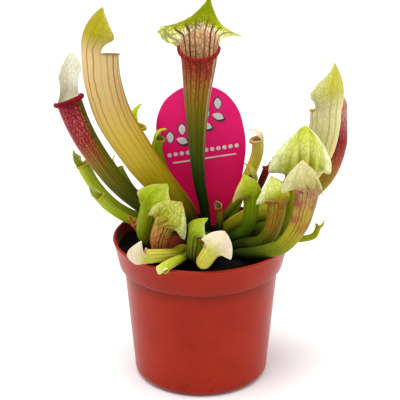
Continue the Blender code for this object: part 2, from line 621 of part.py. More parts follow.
LEAVES = [
    leaf(
        "pitcher_centre", "olive", "large", root=(3, 17),
        path=[(1.5, 15.5, 86), (-1, 12, 101), (-2, 9, 119), (-2, 6, 146), (-1, 4, 166), (-1, 3, 175.5)],
        faces=268, mouth=9.9, petiole=2.4, swell=2.0, keel=1.5, slant=20, lip=1.6, back=4,
        hood=dict(
            length=16.5, half_width=18, bend=(-20, 20), broad=0.42, neck=0.0, cup=20, pointed=0.85,
            wave=1.8, waves=1.0, droop=9, roll=-0.25, fan=13, tip=3, sway=-5, uneven=0.3, ear=7,
        ),
    ),
    leaf(
        "pitcher_left_tall", "yellow", "large", root=(-4, 17),
        path=[
            (-8, 14.5, 82), (-16, 10.5, 93), (-26, 7, 106.5), (-33, 5, 117.5), (-44, 3, 138),
            (-49, 4, 156.5), (-50, 8, 169.5),
        ],
        faces=12, mouth=9.3, petiole=2.2, swell=0.45, narrow=0.72, keel=2.0, slant=4, lip=0.4, back=4,
        hood=dict(
            length=25.5, half_width=22, bend=(0, 53), broad=0.5, neck=0.1, cup=85, pointed=0.1,
            droop=1, tip=1,
        ),
    ),
    leaf(
        "pitcher_left_red", "red", "large", root=(-9.5, 12),
        path=[
            (-18, 10.5, 80), (-31, 9.5, 89), (-43, 7, 102), (-54, 5, 119), (-61, 4, 133),
            (-66, 5, 146.5),
        ],
        faces=285, mouth=6.5, petiole=2.2, swell=0.6, slant=0, lip=2.0,
        hood=dict(
            length=20, half_width=7.5, bend=(10, -15), broad=0.6, neck=0.2, cup=60, pointed=0.2,
            wave=0.8, droop=1, tip=1, sway=-9,
        ),
    ),
    leaf(
        "pitcher_right_tall", "yellow", "large", root=(13, 16.8),
        path=[
            (25, 15, 78.8), (41, 14, 86), (52, 12.5, 101.4), (60, 11.5, 117.2), (62.5, 11.5, 129.7),
            (63, 13.5, 138.3),
        ],
        faces=172, mouth=7.8, petiole=2.2, swell=0.5, narrow=0.75, keel=1.5, slant=5, lip=0.4, back=6,
        hood=dict(
            length=23.5, half_width=23, bend=(-8, 30), broad=0.5, neck=0.0, cup=100, pointed=0.2,
            droop=0.5, tip=1,
        ),
    ),
    leaf(
        "pitcher_right_red", "red", "large", root=(18.5, 21.5),
        path=[
            (29, 23.5, 78.5), (41, 24.5, 80.5), (54, 26, 86), (65, 26.5, 98), (70, 26.5, 113),
            (70, 27, 125), (69.5, 27, 133),
        ],
        faces=160, mouth=5.4, petiole=2.0, swell=0.6, slant=5, lip=0.6,
        hood=dict(length=9, half_width=5, bend=(0, 30), cup=70, droop=1),
    ),
    leaf(
        "pitcher_right_lobed", "lime", "large", root=(18, 7.5),
        path=[(30, 2, 76.8), (40, -0.5, 81.2), (45.5, -1.5, 90), (48.5, -2.5, 101), (49.5, -3, 110)],
        faces=102, mouth=7.5, petiole=2.0, swell=0.8, slant=15, back=4,
        hood=dict(
            length=25, half_width=17, bend=(-12, 45), broad=0.45, neck=0.0, cup=30, pointed=0.35,
            wave=1.6, waves=1.4, droop=5, roll=0.4, fan=8, tip=2, uneven=-0.1, lobes=2,
        ),
    ),
    leaf(
        "pitcher_right_front", "cream", "medium", root=(17.5, -14.5),
        path=[
            (24.5, -21, 74.8), (32, -25, 77.6), (40.5, -27, 81.5), (47.5, -27, 91), (50.5, -26, 100),
            (52.2, -24.5, 108.4),
        ],
        faces=118, mouth=5.8, petiole=2.2, swell=1.1, keel=0.6, slant=15,
        hood=dict(
            length=15, half_width=13.5, bend=(-10, 55), broad=0.38, neck=0.0, cup=55, pointed=0.1,
            wave=0.6, droop=2.5, fan=2, tip=2.5, sway=-6, uneven=-0.1, lobes=2,
        ),
    ),
    leaf(
        "pitcher_right_mid", "lime", "medium", root=(15.5, -6.5),
        path=[(22, -12, 75.6), (29, -16, 78), (34.5, -17, 84), (37, -16, 91.5), (38, -14.5, 99.5)],
        faces=133, mouth=4.8, petiole=2.2, swell=1.0, keel=0.6, slant=15,
        hood=dict(
            length=14, half_width=13.5, bend=(0, 70), broad=0.42, neck=0.0, cup=65, pointed=0.1,
            wave=0.3, droop=2.5, fan=2, tip=2, sway=-2, uneven=-0.1, lobes=1.5,
        ),
    ),
    leaf(
        "pitcher_right_inner", "lime", "medium", root=(11, 0.5),
        path=[(17, -2.5, 75.5), (22, -4, 79), (24.6, -4, 85.5), (25.3, -3, 91.6), (25.5, -2, 97)],
        faces=133, mouth=4.2, petiole=2.0, swell=0.8, slant=15,
        hood=dict(
            length=12.5, half_width=12, bend=(0, 70), broad=0.42, neck=0.0, cup=65, pointed=0.1,
            wave=0.3, droop=2.5, fan=2, tip=2, sway=-2, uneven=-0.1, lobes=1.5,
        ),
    ),
    leaf(
        "pitcher_left_front", "lime", "medium", root=(-12.5, 3),
        path=[(-21, -4, 77), (-27, -11, 79), (-28, -14, 86), (-25.5, -14, 96)],
        faces=45, mouth=5.0, swell=0.8, keel=0.6, slant=10,
        hood=dict(
            length=16, half_width=14.5, bend=(0, 75), broad=0.45, cup=45, pointed=0.35, wave=0.4,
            droop=2, fan=3, tip=3, sway=1, uneven=0.1,
        ),
    ),
    leaf(
        "pitcher_left_netted", "lime", "medium", root=(-9, -1),
        path=[(-14.5, -13, 77), (-19.5, -23, 78.6), (-20.5, -26.5, 85), (-18, -27, 93)],
        faces=50, mouth=5.2, swell=0.8, keel=0.6, slant=15,
        hood=dict(
            length=16.5, half_width=14, bend=(0, 95), broad=0.42, cup=55, pointed=0.15, wave=0.4,
            droop=3, fan=5, tip=3, uneven=0.1,
        ),
    ),
    leaf(
        "pitcher_rim_curled", "cream", "medium", root=(-8, -8.5),
        path=[(-10, -18, 75.8), (-13.3, -28, 77.5), (-20, -34.5, 79.4), (-27, -36.5, 79.8)],
        faces=85, faces_up=15, mouth=3.6, keel=0.5, slant=10, lip=0.5,
        hood=dict(
            length=11, half_width=7.5, bend=(0, 70), cup=45, pointed=0.1, wave=0.2, droop=1, tip=0,
            uneven=0.4,
        ),
    ),
    leaf(
        "pitcher_rim_small", "lime", "small", root=(-3, -9),
        path=[(-5.5, -17, 74), (-8, -26, 74.8), (-10.8, -35, 77.6), (-15.2, -42.5, 78.6), (-18, -46, 78.2)],
        faces=250, faces_up=-80, mouth=2.6, slant=0,
        hood=dict(length=7, half_width=4, bend=(5, 95), cup=50, wave=0.1, droop=1, tip=0),
    ),
    leaf(
        "pitcher_front_olive", "olive", "medium", root=(0.8, -8.5),
        path=[(0.2, -17, 75.8), (-1.8, -25, 76.3), (-3.2, -30.5, 78.5), (-3, -31.5, 83), (-2.4, -31, 88)],
        faces=30, mouth=4.4, swell=0.7, keel=0.6, slant=5,
        hood=dict(
            length=12, half_width=10.5, bend=(0, 80), cup=50, pointed=0.3, wave=0.2, droop=1.5, tip=3,
        ),
    ),
    leaf(
        "pitcher_front_cream", "cream", "medium", root=(5, -8),
        path=[(5.5, -13, 74.5), (5.8, -20, 75.8), (3.5, -33, 76.8), (1.2, -41.5, 79.2), (5.2, -43, 86)],
        faces=80, mouth=4.2, petiole=1.6, swell=1.2, slant=10, lip=0.5,
        hood=dict(
            length=13, half_width=10, bend=(0, 75), cup=50, pointed=0.15, wave=0.4, droop=4, roll=0.5,
            fan=6, tip=1, uneven=0.15,
        ),
    ),
    leaf(
        "pitcher_back_right", "yellow", "medium", root=(16.5, 27.5),
        path=[(20.8, 29.6, 86), (26.3, 29, 99), (29.3, 28.4, 109), (29.4, 28, 117)],
        faces=185, mouth=3.1, swell=0.8,
        hood=dict(length=10, half_width=4.5, bend=(10, 100), cup=50, wave=0.2, droop=1, tip=1),
    ),
    leaf(
        "pitcher_back_maroon", "maroon", "small", root=(23.5, 30),
        path=[(26, 30.5, 80), (28.5, 30.5, 86), (31.5, 31, 92), (34.5, 31, 100)],
        faces=200, mouth=2.1, slant=5,
        hood=dict(length=6, half_width=2.6, bend=(0, 20), cup=60, wave=0.1, droop=1, tip=1),
    ),
    leaf(
        "pitcher_small_hooked", "lime", "small", root=(21, 0.5),
        path=[(31, -7, 76), (42, -11, 78), (51, -11.5, 78.3), (57, -11.5, 80.2), (59, -11.5, 85)],
        faces=180, mouth=1.7, slant=0,
        hood=dict(length=4.5, half_width=2.2, bend=(0, 40), cup=60, wave=0.1, droop=0.5, tip=1),
    ),
    leaf(
        "pitcher_right_small", "lime", "small", root=(9, 22.3),
        path=[(14.5, 20, 80), (22, 18.5, 91), (27, 18.5, 99.5)],
        faces=180, mouth=2.5, slant=10,
        hood=dict(length=10.5, half_width=4.6, bend=(32, 95), cup=50, wave=0.2, droop=0.5, tip=2),
    ),
    leaf(
        "pitcher_crown_small", "green", "small", root=(9.5, 13.7),
        path=[(9.8, 15.2, 78), (9, 16.5, 83.5)],
        faces=250, mouth=2.0, slant=10,
        hood=dict(length=5, half_width=2.6, bend=(10, 70), cup=55, wave=0.1, droop=0.5, tip=1),
    ),
    leaf(
        "pitcher_lower_left", "lime", "medium", root=(-14.5, 15.5),
        path=[(-24, 16, 76.5), (-36, 17, 79.8), (-46, 18.5, 85.5), (-55, 20.5, 95), (-61, 21, 106)],
        faces=330, mouth=3.5, swell=0.8, slant=5, lip=0.5,
        hood=dict(length=8, half_width=4, bend=(0, 30), cup=60, wave=0.2, droop=1, tip=2),
    ),
    leaf(
        "pitcher_lower_left_small", "lime", "small", root=(-14.5, 8.5),
        path=[(-25, 6, 77.5), (-38, 4, 83), (-47, 3, 90), (-51.5, 2, 96)],
        faces=330, mouth=2.8, slant=5,
        hood=dict(length=7, half_width=3.2, bend=(0, 30), cup=60, wave=0.2, droop=1, tip=2),
    ),
    leaf(
        "pitcher_back_left", "green", "medium", root=(-9, 22.3),
        path=[(-18, 24, 83), (-29, 25.5, 97), (-34, 26, 112), (-33.5, 26, 125)],
        faces=20, mouth=4.2, slant=10,
        hood=dict(length=12, half_width=6.5, bend=(0, 50), cup=60, wave=0.4, droop=2, tip=2),
    ),
    leaf(
        "pitcher_behind_tall", "olive", "small", root=(-3, 23),
        path=[(-9, 22.3, 86), (-18, 20.5, 101), (-22.5, 19, 115), (-21.5, 18.5, 121)],
        faces=340, mouth=2.8, slant=10,
        hood=dict(length=9, half_width=4.2, bend=(10, 85), cup=50, wave=0.2, droop=1, tip=1),
    ),
    leaf(
        "pitcher_left_slender", "green", "small", root=(-15.5, 19.7),
        path=[(-25, 24, 80), (-36, 27, 89), (-43, 28, 101)],
        faces=0, mouth=2.5, slant=10,
        hood=dict(length=8, half_width=3.5, bend=(0, 60), cup=50, wave=0.2, droop=1, tip=1),
    ),
    leaf(
        "pitcher_rear_left", "lime", "medium", root=(-6, 28.5),
        path=[(-10, 34, 78), (-14, 40.5, 84), (-16, 44.5, 94), (-16, 44.5, 102)],
        faces=290, mouth=4.6, slant=20,
        hood=dict(length=14, half_width=9, bend=(0, 55), cup=40, wave=0.8, droop=3, tip=2),
    ),
    leaf(
        "pitcher_rear_middle", "cream", "medium", root=(3, 31),
        path=[(2, 37, 78), (0, 43.5, 83.5), (-1, 46.5, 91), (-1, 46, 97)],
        faces=275, mouth=4.4, slant=20,
        hood=dict(length=13, half_width=8, bend=(0, 60), cup=40, wave=0.7, droop=3, tip=2),
    ),
    leaf(
        "pitcher_rear_right", "lime", "medium", root=(15.5, 33),
        path=[(17, 38, 79), (14.5, 43.5, 84), (13, 46.5, 91), (13, 46, 97)],
        faces=255, mouth=4.2, slant=20,
        hood=dict(length=11, half_width=7.5, bend=(0, 60), cup=40, wave=0.7, droop=3, tip=2),
    ),
    leaf(
        "dry_sheath", "dry", "small", root=(-29, 3),
        path=[(-31, 0.7, 77), (-34, 0.2, 82)],
        faces=300, mouth=1.7, petiole=1.9, keel=0.1, slant=10,
        hood=dict(length=4, half_width=1.6, bend=(0, 15), cup=60, wave=0.05, droop=0.3, tip=1),
    ),
]


def main():
    clear_scene()
    parts = collection(COLLECTION)
    cutters = collection("cutters")
    make_pot(parts, cutters)
    make_soil(parts, cutters, LEAVES)
    make_rhizome(parts)
    make_label(parts)
    for one in LEAVES:
        make_leaf(one, parts)


main()
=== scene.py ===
import json
import math

import bmesh
import bpy
import numpy as np
from mathutils import Matrix, Vector, noise

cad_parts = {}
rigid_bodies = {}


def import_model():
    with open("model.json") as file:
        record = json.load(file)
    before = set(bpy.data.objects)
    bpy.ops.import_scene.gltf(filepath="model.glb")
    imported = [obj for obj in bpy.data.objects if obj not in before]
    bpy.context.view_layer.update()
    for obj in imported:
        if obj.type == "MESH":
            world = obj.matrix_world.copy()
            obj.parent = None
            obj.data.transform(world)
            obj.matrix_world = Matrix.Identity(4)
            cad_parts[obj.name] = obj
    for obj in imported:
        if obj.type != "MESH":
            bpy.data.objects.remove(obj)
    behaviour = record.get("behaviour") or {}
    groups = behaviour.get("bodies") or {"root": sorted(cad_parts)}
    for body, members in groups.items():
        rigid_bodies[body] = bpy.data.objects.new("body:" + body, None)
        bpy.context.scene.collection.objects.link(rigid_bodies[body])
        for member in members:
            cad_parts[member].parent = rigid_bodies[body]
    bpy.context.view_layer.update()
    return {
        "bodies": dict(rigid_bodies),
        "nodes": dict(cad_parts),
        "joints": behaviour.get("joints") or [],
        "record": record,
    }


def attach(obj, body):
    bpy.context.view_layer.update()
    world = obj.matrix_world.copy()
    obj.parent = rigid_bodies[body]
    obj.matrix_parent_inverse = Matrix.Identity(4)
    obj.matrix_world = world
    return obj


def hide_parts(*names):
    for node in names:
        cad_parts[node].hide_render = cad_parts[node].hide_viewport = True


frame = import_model()
MM = 0.001

# Nursery pot
# A round pot of terracotta-coloured polypropylene, blow-moulded in one piece about 1 mm thick. Its
# tapered wall steps out to a plain collar under a beaded rim, and six drain holes go through the base.
POT_HEIGHT = 75.2
RIM_RADIUS = 45.0
BEAD_RADIUS = 0.75
COLLAR_DEPTH = 14.5
COLLAR_FOOT = POT_HEIGHT - COLLAR_DEPTH
COLLAR_FOOT_RADIUS = 41.8
WALL_TOP_RADIUS = 39.4
BASE_RADIUS = 33.9
BASE_ROUNDING = 4.5
POT_WALL = 1.0
POT_SIDES = 160
DRAIN_HOLES = 6
DRAIN_HOLE_RADIUS = 3.2
DRAIN_CIRCLE_RADIUS = 22.0


def linear(colour):
    """An sRGB hex colour as the linear values that a shader takes."""
    parts = [int(colour[i : i + 2], 16) / 255 for i in (1, 3, 5)]
    return [c / 12.92 if c <= 0.04045 else ((c + 0.055) / 1.055) ** 2.4 for c in parts] + [1.0]


def feed(node, inputs):
    """Gives a node's inputs their values, or the sockets that they are linked from."""
    for key, value in inputs.items():
        if isinstance(value, bpy.types.NodeSocket):
            node.id_data.links.new(value, node.inputs[key])
        else:
            node.inputs[key].default_value = value


def add_node(tree, kind, inputs, take=0, stops=(), **settings):
    """Adds a node and gives back the output to take. stops are a ramp's, as (place, hex colour)."""
    made = tree.nodes.new(kind if "Node" in kind else "ShaderNode" + kind)
    for key, value in settings.items():
        setattr(made, key, value)
    feed(made, inputs)
    for k, (place, colour) in enumerate(stops):
        elements = made.color_ramp.elements
        element = elements[k] if k < 2 else elements.new(place)
        element.position = place
        element.color = linear(colour)
    return made.outputs[take] if made.outputs else None


def new_material(name):
    made = bpy.data.materials.new(name)
    made.use_nodes = True
    return made, made.node_tree, made.node_tree.nodes["Principled BSDF"]


def into_scene(name, data):
    obj = bpy.data.objects.new(name, data)
    bpy.context.scene.collection.objects.link(obj)
    return obj


def sculpted(name, bm):
    """An object in the scene from an edited mesh."""
    mesh = bpy.data.meshes.new(name)
    bm.to_mesh(mesh)
    bm.free()
    return into_scene(name, mesh)


def evaluated_mesh(obj):
    """The object's mesh as its modifiers or its curve settings make it."""
    bpy.context.view_layer.update()
    return bpy.data.meshes.new_from_object(obj.evaluated_get(bpy.context.evaluated_depsgraph_get()))


def baked(obj):
    mesh = evaluated_mesh(obj)
    obj.modifiers.clear()
    obj.data = mesh


def turned(name, profile):
    """The mesh turned about Z from a profile of (radius, height) in mm."""
    mesh = bpy.data.meshes.new(name)
    points = [(radius * MM, 0.0, height * MM) for radius, height in profile]
    mesh.from_pydata(points, [(i, i + 1) for i in range(len(points) - 1)], [])
    obj = into_scene(name, mesh)
    screw = obj.modifiers.new("turn", "SCREW")
    screw.steps = screw.render_steps = POT_SIDES
    screw.use_merge_vertices = True
    screw.merge_threshold = 0.00001
    return obj


def finished(obj, surface, slot, *nodes):
    """Gives a piece its material and hides the nodes that it stands for. slot is not used."""
    obj.data.materials.clear()
    obj.data.materials.append(surface)
    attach(obj, "root")
    if nodes:
        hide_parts(*nodes)


def arc(centre, height, radius, angles):
    """Points of a profile on a round of this radius, at angles in degrees."""
    turns = [math.radians(angle) for angle in angles]
    return [(centre + radius * math.cos(turn), height + radius * math.sin(turn)) for turn in turns]


def inner_wall_radius(height):
    if height >= COLLAR_FOOT:
        share = (height - COLLAR_FOOT) / COLLAR_DEPTH
        return COLLAR_FOOT_RADIUS + share * (RIM_RADIUS - COLLAR_FOOT_RADIUS) - POT_WALL
    return BASE_RADIUS + (WALL_TOP_RADIUS - BASE_RADIUS) * height / COLLAR_FOOT - POT_WALL


# Moulded polypropylene, fired-clay red. It gives a satin gloss with soft pale reflections at a
# grazing angle, faint rings from the mould, peat dust caught near the foot, and a band of painted
# shade on the wall just under the collar.
pot_plastic, tree, shader = new_material("moulded_polypropylene")
spot = add_node(tree, "TexCoord", {}, "Object")
height = add_node(tree, "SeparateXYZ", {0: spot}, "Z")
cloud = add_node(tree, "TexNoise", {"Vector": spot, "Scale": 1 / (14 * MM), "Detail": 3.0})
tone = add_node(tree, "ValToRGB", {0: cloud}, stops=[(0.3, "#921d06"), (0.7, "#9c230a")])
grit = {"Vector": spot, "Scale": 1 / (1.6 * MM), "Detail": 4.0, "Roughness": 0.7}
low_down = {"Value": height, "From Min": 16 * MM, "From Max": 0.0, "To Min": 0.672, "To Max": 0.56}
specks = {0: add_node(tree, "TexNoise", grit), 1: add_node(tree, "MapRange", low_down)}
stuck = add_node(tree, "Math", specks, operation="SUBTRACT")
dust = add_node(tree, "MapRange", {"Value": stuck, "From Max": 0.03, "To Max": 0.85})
colour = add_node(tree, "Mix", {0: dust, 6: tone, 7: linear("#2a1712")}, 2, data_type="RGBA")
# Painted shade: a soft darker band on the wall just under the collar's foot, where the step shades it.
painted_shade_under_collar = add_node(
    tree,
    "ValToRGB",
    {0: add_node(tree, "MapRange", {"Value": height, "From Max": POT_HEIGHT * MM})},
    stops=[
        (0.0, "#ffffff"), (1.0, "#ffffff"), (0.7, "#fafafa"), (0.78, "#d8d8d8"), (0.81, "#d4d4d4"),
        (0.825, "#f4f4f4"),
    ],
)
shaded = {0: 1.0, 6: colour, 7: painted_shade_under_collar}
waver = {"Vector": spot, "Scale": 1 / (9 * MM), "Distortion": 1.5, "Detail": 1.0, "Detail Scale": 0.6}
rings = add_node(tree, "TexWave", waver, "Fac", bands_direction="Z")
scuff = {"Value": cloud, "From Min": 0.3, "From Max": 0.7, "To Min": 0.27, "To Max": 0.4}
feed(
    shader,
    {
        "Base Color": add_node(tree, "Mix", shaded, 2, data_type="RGBA", blend_type="MULTIPLY"),
        "Roughness": add_node(tree, "MapRange", scuff),
        "Normal": add_node(tree, "Bump", {"Strength": 0.1, "Distance": 0.15 * MM, "Height": rings}),
        "IOR": 1.49,
        "Specular IOR Level": 0.12,
        "Sheen Weight": 0.12,
        "Sheen Roughness": 0.35,
    },
)

# The profile runs from the middle of the inside, over the rim, to the middle of the underside.
foot_round = BASE_RADIUS - BASE_ROUNDING + 0.5
pot_profile = [(0.0, POT_WALL), (foot_round - POT_WALL, POT_WALL)]
pot_profile += [
    (inner_wall_radius(BASE_ROUNDING), BASE_ROUNDING),
    (inner_wall_radius(COLLAR_FOOT - POT_WALL), COLLAR_FOOT - 2.2 * POT_WALL),
    (inner_wall_radius(COLLAR_FOOT), COLLAR_FOOT),
    (inner_wall_radius(POT_HEIGHT - 2.0), POT_HEIGHT - 2.0),
]
pot_profile += arc(RIM_RADIUS - BEAD_RADIUS, POT_HEIGHT - BEAD_RADIUS, BEAD_RADIUS, range(150, -61, -15))
pot_profile += [
    (RIM_RADIUS - 0.6, POT_HEIGHT - 2.2),
    (RIM_RADIUS - 1.6, POT_HEIGHT - 7.0),
    (COLLAR_FOOT_RADIUS + 0.1, COLLAR_FOOT + 0.9),
    (COLLAR_FOOT_RADIUS - 0.15, COLLAR_FOOT + 0.3),
    (COLLAR_FOOT_RADIUS - 0.6, COLLAR_FOOT),
    (WALL_TOP_RADIUS + 0.4, COLLAR_FOOT - 0.35),
    (WALL_TOP_RADIUS, COLLAR_FOOT - 0.9),
    (WALL_TOP_RADIUS - 0.1, COLLAR_FOOT - 2.0),
    (BASE_RADIUS + 0.4, BASE_ROUNDING),
]
pot_profile += arc(foot_round, BASE_ROUNDING, BASE_ROUNDING, range(-10, -90, -10))
pot = turned("nursery_pot", pot_profile + [(foot_round, 0.0), (0.0, 0.0)])
bm = bmesh.new()
hole_angles = [360 * (k + 0.5) / DRAIN_HOLES for k in range(DRAIN_HOLES)]
for x, y in arc(0.0, 0.0, DRAIN_CIRCLE_RADIUS, hole_angles):
    bmesh.ops.create_cone(
        bm,
        cap_ends=True,
        segments=40,
        radius1=DRAIN_HOLE_RADIUS * MM,
        radius2=DRAIN_HOLE_RADIUS * MM,
        depth=4 * POT_WALL * MM,
        matrix=Matrix.Translation(Vector((x, y, 0.0)) * MM),
    )
punch = sculpted("punch", bm)
holes = pot.modifiers.new("holes", "BOOLEAN")
holes.operation = "DIFFERENCE"
holes.solver = "EXACT"
holes.object = punch
baked(pot)
bpy.data.objects.remove(punch, do_unlink=True)
pot.data.shade_smooth()
pot.data.set_sharp_from_angle(angle=math.radians(35))
finished(pot, pot_plastic, "terracotta_polypropylene", "pot")

# Peat
# Black fibrous peat that fills the pot to about 6 mm under the rim, with loose crumbs lying on it.
# It is one block with a lumpy top, and the crumbs are scattered over that.
SOIL_LEVEL = 69.2
SOIL_RISE = 0.6
SOIL_BUMP = 1.1
CLEARANCE = 0.3
TOP_RINGS = 64
CRUMBS_PER_SQUARE_METRE = 900000.0
LARGEST_CRUMB_RADIUS = 0.75
HOLE_DEPTH = 8.0


def soil_height(x, y):
    """Height of the peat, from the same lumps as its solid, with finer crumb on top."""
    share = min(1.0, math.hypot(x, y) / 42.0)
    lumps = noise.noise(Vector((x / 9.0, y / 9.0, 3.1)))
    lumps += 0.5 * noise.noise(Vector((x / 4.0, y / 4.0, 8.7)))
    crumb = 0.45 * noise.noise(Vector((x / 1.6, y / 1.6, 5.2)))
    crumb += 0.25 * noise.noise(Vector((x / 0.8, y / 0.8, 9.4)))
    return SOIL_LEVEL + SOIL_RISE * (1 - share * share) + SOIL_BUMP * lumps + crumb


def mottled(name, grain, detail, stops, inputs, ruggedness=0.5, relief=None):
    """A material whose tone follows a cloud with a grain of so many mm.

    inputs go to its shader, and relief is the strength of the cloud's bump and its depth in mm.
    """
    made, tree, shader = new_material(name)
    cloud = {"Vector": add_node(tree, "TexCoord", {}, "Object"), "Scale": 1 / (grain * MM)}
    cloud = add_node(tree, "TexNoise", {**cloud, "Detail": detail, "Roughness": ruggedness})
    feed(shader, {"Base Color": add_node(tree, "ValToRGB", {0: cloud}, stops=stops), **inputs})
    if relief:
        bump = {"Strength": relief[0], "Distance": relief[1] * MM, "Height": cloud}
        feed(shader, {"Normal": add_node(tree, "Bump", bump)})
    return made


# Milled black peat: matt, nearly black when moist, with brown fibres a few tenths of a mm thick.
peat = mottled(
    "moist_peat", 1.2, 6.0, [(0.35, "#050403"), (0.8, "#2c1e16"), (0.62, "#100c09")],
    {"Roughness": 0.93, "Specular IOR Level": 0.08}, ruggedness=0.75, relief=(0.8, 0.6),
)
edge = inner_wall_radius(SOIL_LEVEL) - CLEARANCE
block_profile = [(edge * i / TOP_RINGS, SOIL_LEVEL) for i in range(TOP_RINGS + 1)]
block_profile += [
    (inner_wall_radius(COLLAR_FOOT + 0.1) - CLEARANCE, COLLAR_FOOT + 0.5),
    (inner_wall_radius(COLLAR_FOOT - POT_WALL) - CLEARANCE, COLLAR_FOOT - 2.2 * POT_WALL),
    (inner_wall_radius(BASE_ROUNDING) - CLEARANCE, BASE_ROUNDING + CLEARANCE),
    (BASE_RADIUS - BASE_ROUNDING - 1.0, POT_WALL + CLEARANCE),
    (0.0, POT_WALL + CLEARANCE),
]
block = turned("peat_block", block_profile)
baked(block)
for vertex in block.data.vertices:
    if vertex.co.z > (SOIL_LEVEL - 0.1) * MM:
        vertex.co.z = soil_height(vertex.co.x / MM, vertex.co.y / MM) * MM
block.data.shade_smooth()
finished(block, peat, "peat", "soil")

# Crumbs: small rough lumps strewn over the top of the block, each one a few tenths of a mm to
# 1.4 mm across, from one lump turned and scaled at random with a fixed seed.
bm = bmesh.new()
bmesh.ops.create_circle(bm, cap_ends=True, segments=48, radius=(edge - 0.8) * MM)
bmesh.ops.triangulate(bm, faces=bm.faces)
bmesh.ops.subdivide_edges(bm, edges=bm.edges, cuts=8, use_grid_fill=True)
for vertex in bm.verts:
    vertex.co.z = soil_height(vertex.co.x / MM, vertex.co.y / MM) * MM
crumbs = sculpted("peat_crumbs", bm)
strew = bpy.data.node_groups.new("strew_crumbs", "GeometryNodeTree")
for title, way, kind in (
    ("Ground", "INPUT", "Geometry"),
    ("Crumbs per square metre", "INPUT", "Float"),
    ("Largest radius", "INPUT", "Float"),
    ("Strewn", "OUTPUT", "Geometry"),
):
    strew.interface.new_socket(title, in_out=way, socket_type="NodeSocket" + kind)
ground, density, radius = add_node(strew, "NodeGroupInput", {}).node.outputs[:3]
scattered = {"Mesh": ground, "Density": density, "Seed": 7}
whole_turn = {1: (math.tau, math.tau, math.tau), "Seed": 3}
flattened = {0: (0.2, 0.2, 0.15), 1: (1.0, 0.8, 0.6), "Seed": 5}
copies = {
    "Points": add_node(strew, "GeometryNodeDistributePointsOnFaces", scattered),
    "Instance": add_node(strew, "GeometryNodeMeshIcoSphere", {"Radius": radius, "Subdivisions": 1}),
    "Rotation": add_node(strew, "FunctionNodeRandomValue", whole_turn, data_type="FLOAT_VECTOR"),
    "Scale": add_node(strew, "FunctionNodeRandomValue", flattened, data_type="FLOAT_VECTOR"),
}
strewn = add_node(strew, "GeometryNodeInstanceOnPoints", copies)
real = add_node(strew, "GeometryNodeRealizeInstances", {0: strewn})
painted = add_node(strew, "GeometryNodeSetMaterial", {"Geometry": real, "Material": peat})
add_node(strew, "NodeGroupOutput", {0: painted})
layer = crumbs.modifiers.new("strew", "NODES")
layer.node_group = strew
sockets = {item.name: item.identifier for item in strew.interface.items_tree if item.in_out == "INPUT"}
layer[sockets["Crumbs per square metre"]] = CRUMBS_PER_SQUARE_METRE
layer[sockets["Largest radius"]] = LARGEST_CRUMB_RADIUS * MM
baked(crumbs)
finished(crumbs, peat, "peat")

# Rhizome
# The short creeping stem that the leaves rise from, brown, ringed with the scars of old leaves
# and lying half in the peat. Its solid is kept, with a bark of its own, brown, matt and fibrous.
stem = frame["nodes"]["rhizome"]
stem.data.materials.clear()
stem.data.materials.append(
    mottled(
        "rhizome_bark", 2.0, 5.0, [(0.3, "#241009"), (0.7, "#59301f")], {"Roughness": 0.8},
        relief=(0.7, 0.5),
    )
)

# Plant label
# A die-cut plate of pink polystyrene 0.8 mm thick: an egg-shaped head on a stake that stands in a
# slot in the peat behind the crown. Its printing is a plain trail of leaves, dots and a rule in pale ink.
LABEL_STAKE_FOOT = (12.6, 26.0, 39.4)
LABEL_LEAN = -9.0
LABEL_THICKNESS = 0.8
LABEL_EDGE_ROUNDING = 0.12
STAKE_HALF_WIDTH = 3.4
INK_THICKNESS = 0.08
TRAIL_LEAVES = 9
TRAIL_START = (-16.0, 80.0)
TRAIL_LENGTH = 27.0
TRAIL_RISE = 14.5
TRAIL_SAG = 2.0
DOTS = 12
DOT_RADIUS = 1.1
DOT_ROW_HEIGHT = 73.5
DOT_ROW_HALF_LENGTH = 17.5
RULE_HALF_LENGTH = 16.5
RULE_HEIGHTS = (69.4, 68.6)
lean = Matrix.Rotation(math.radians(LABEL_LEAN), 4, "Y") @ Matrix.Rotation(math.radians(90), 4, "X")
label_upright = Matrix.Translation(Vector(LABEL_STAKE_FOOT) * MM) @ lean


def flat_shape(name, outlines, thickness, forward, straight=(), round_over=0.0):
    """A plate cut to closed outlines of (x, z) in the label's frame, forward of its middle plane."""
    curve = bpy.data.curves.new(name, "CURVE")
    curve.dimensions = "2D"
    curve.fill_mode = "BOTH"
    curve.extrude = (thickness / 2 - round_over) * MM
    curve.bevel_depth = round_over * MM
    curve.offset = -round_over * MM
    curve.bevel_resolution = 2
    curve.resolution_u = 20
    for outline in outlines:
        spline = curve.splines.new("BEZIER")
        spline.bezier_points.add(len(outline) - 1)
        spline.use_cyclic_u = True
        for k, (x, z) in enumerate(outline):
            point = spline.bezier_points[k]
            point.co = (x * MM, z * MM, 0.0)
            point.handle_left_type = point.handle_right_type = "VECTOR" if k in straight else "AUTO"
    drawn = into_scene(name, curve)
    mesh = evaluated_mesh(drawn)
    bpy.data.objects.remove(drawn, do_unlink=True)
    mesh.transform(label_upright @ Matrix.Translation((0, 0, forward * MM)))
    mesh.shade_smooth()
    mesh.set_sharp_from_angle(angle=math.radians(30))
    return into_scene(name, mesh)


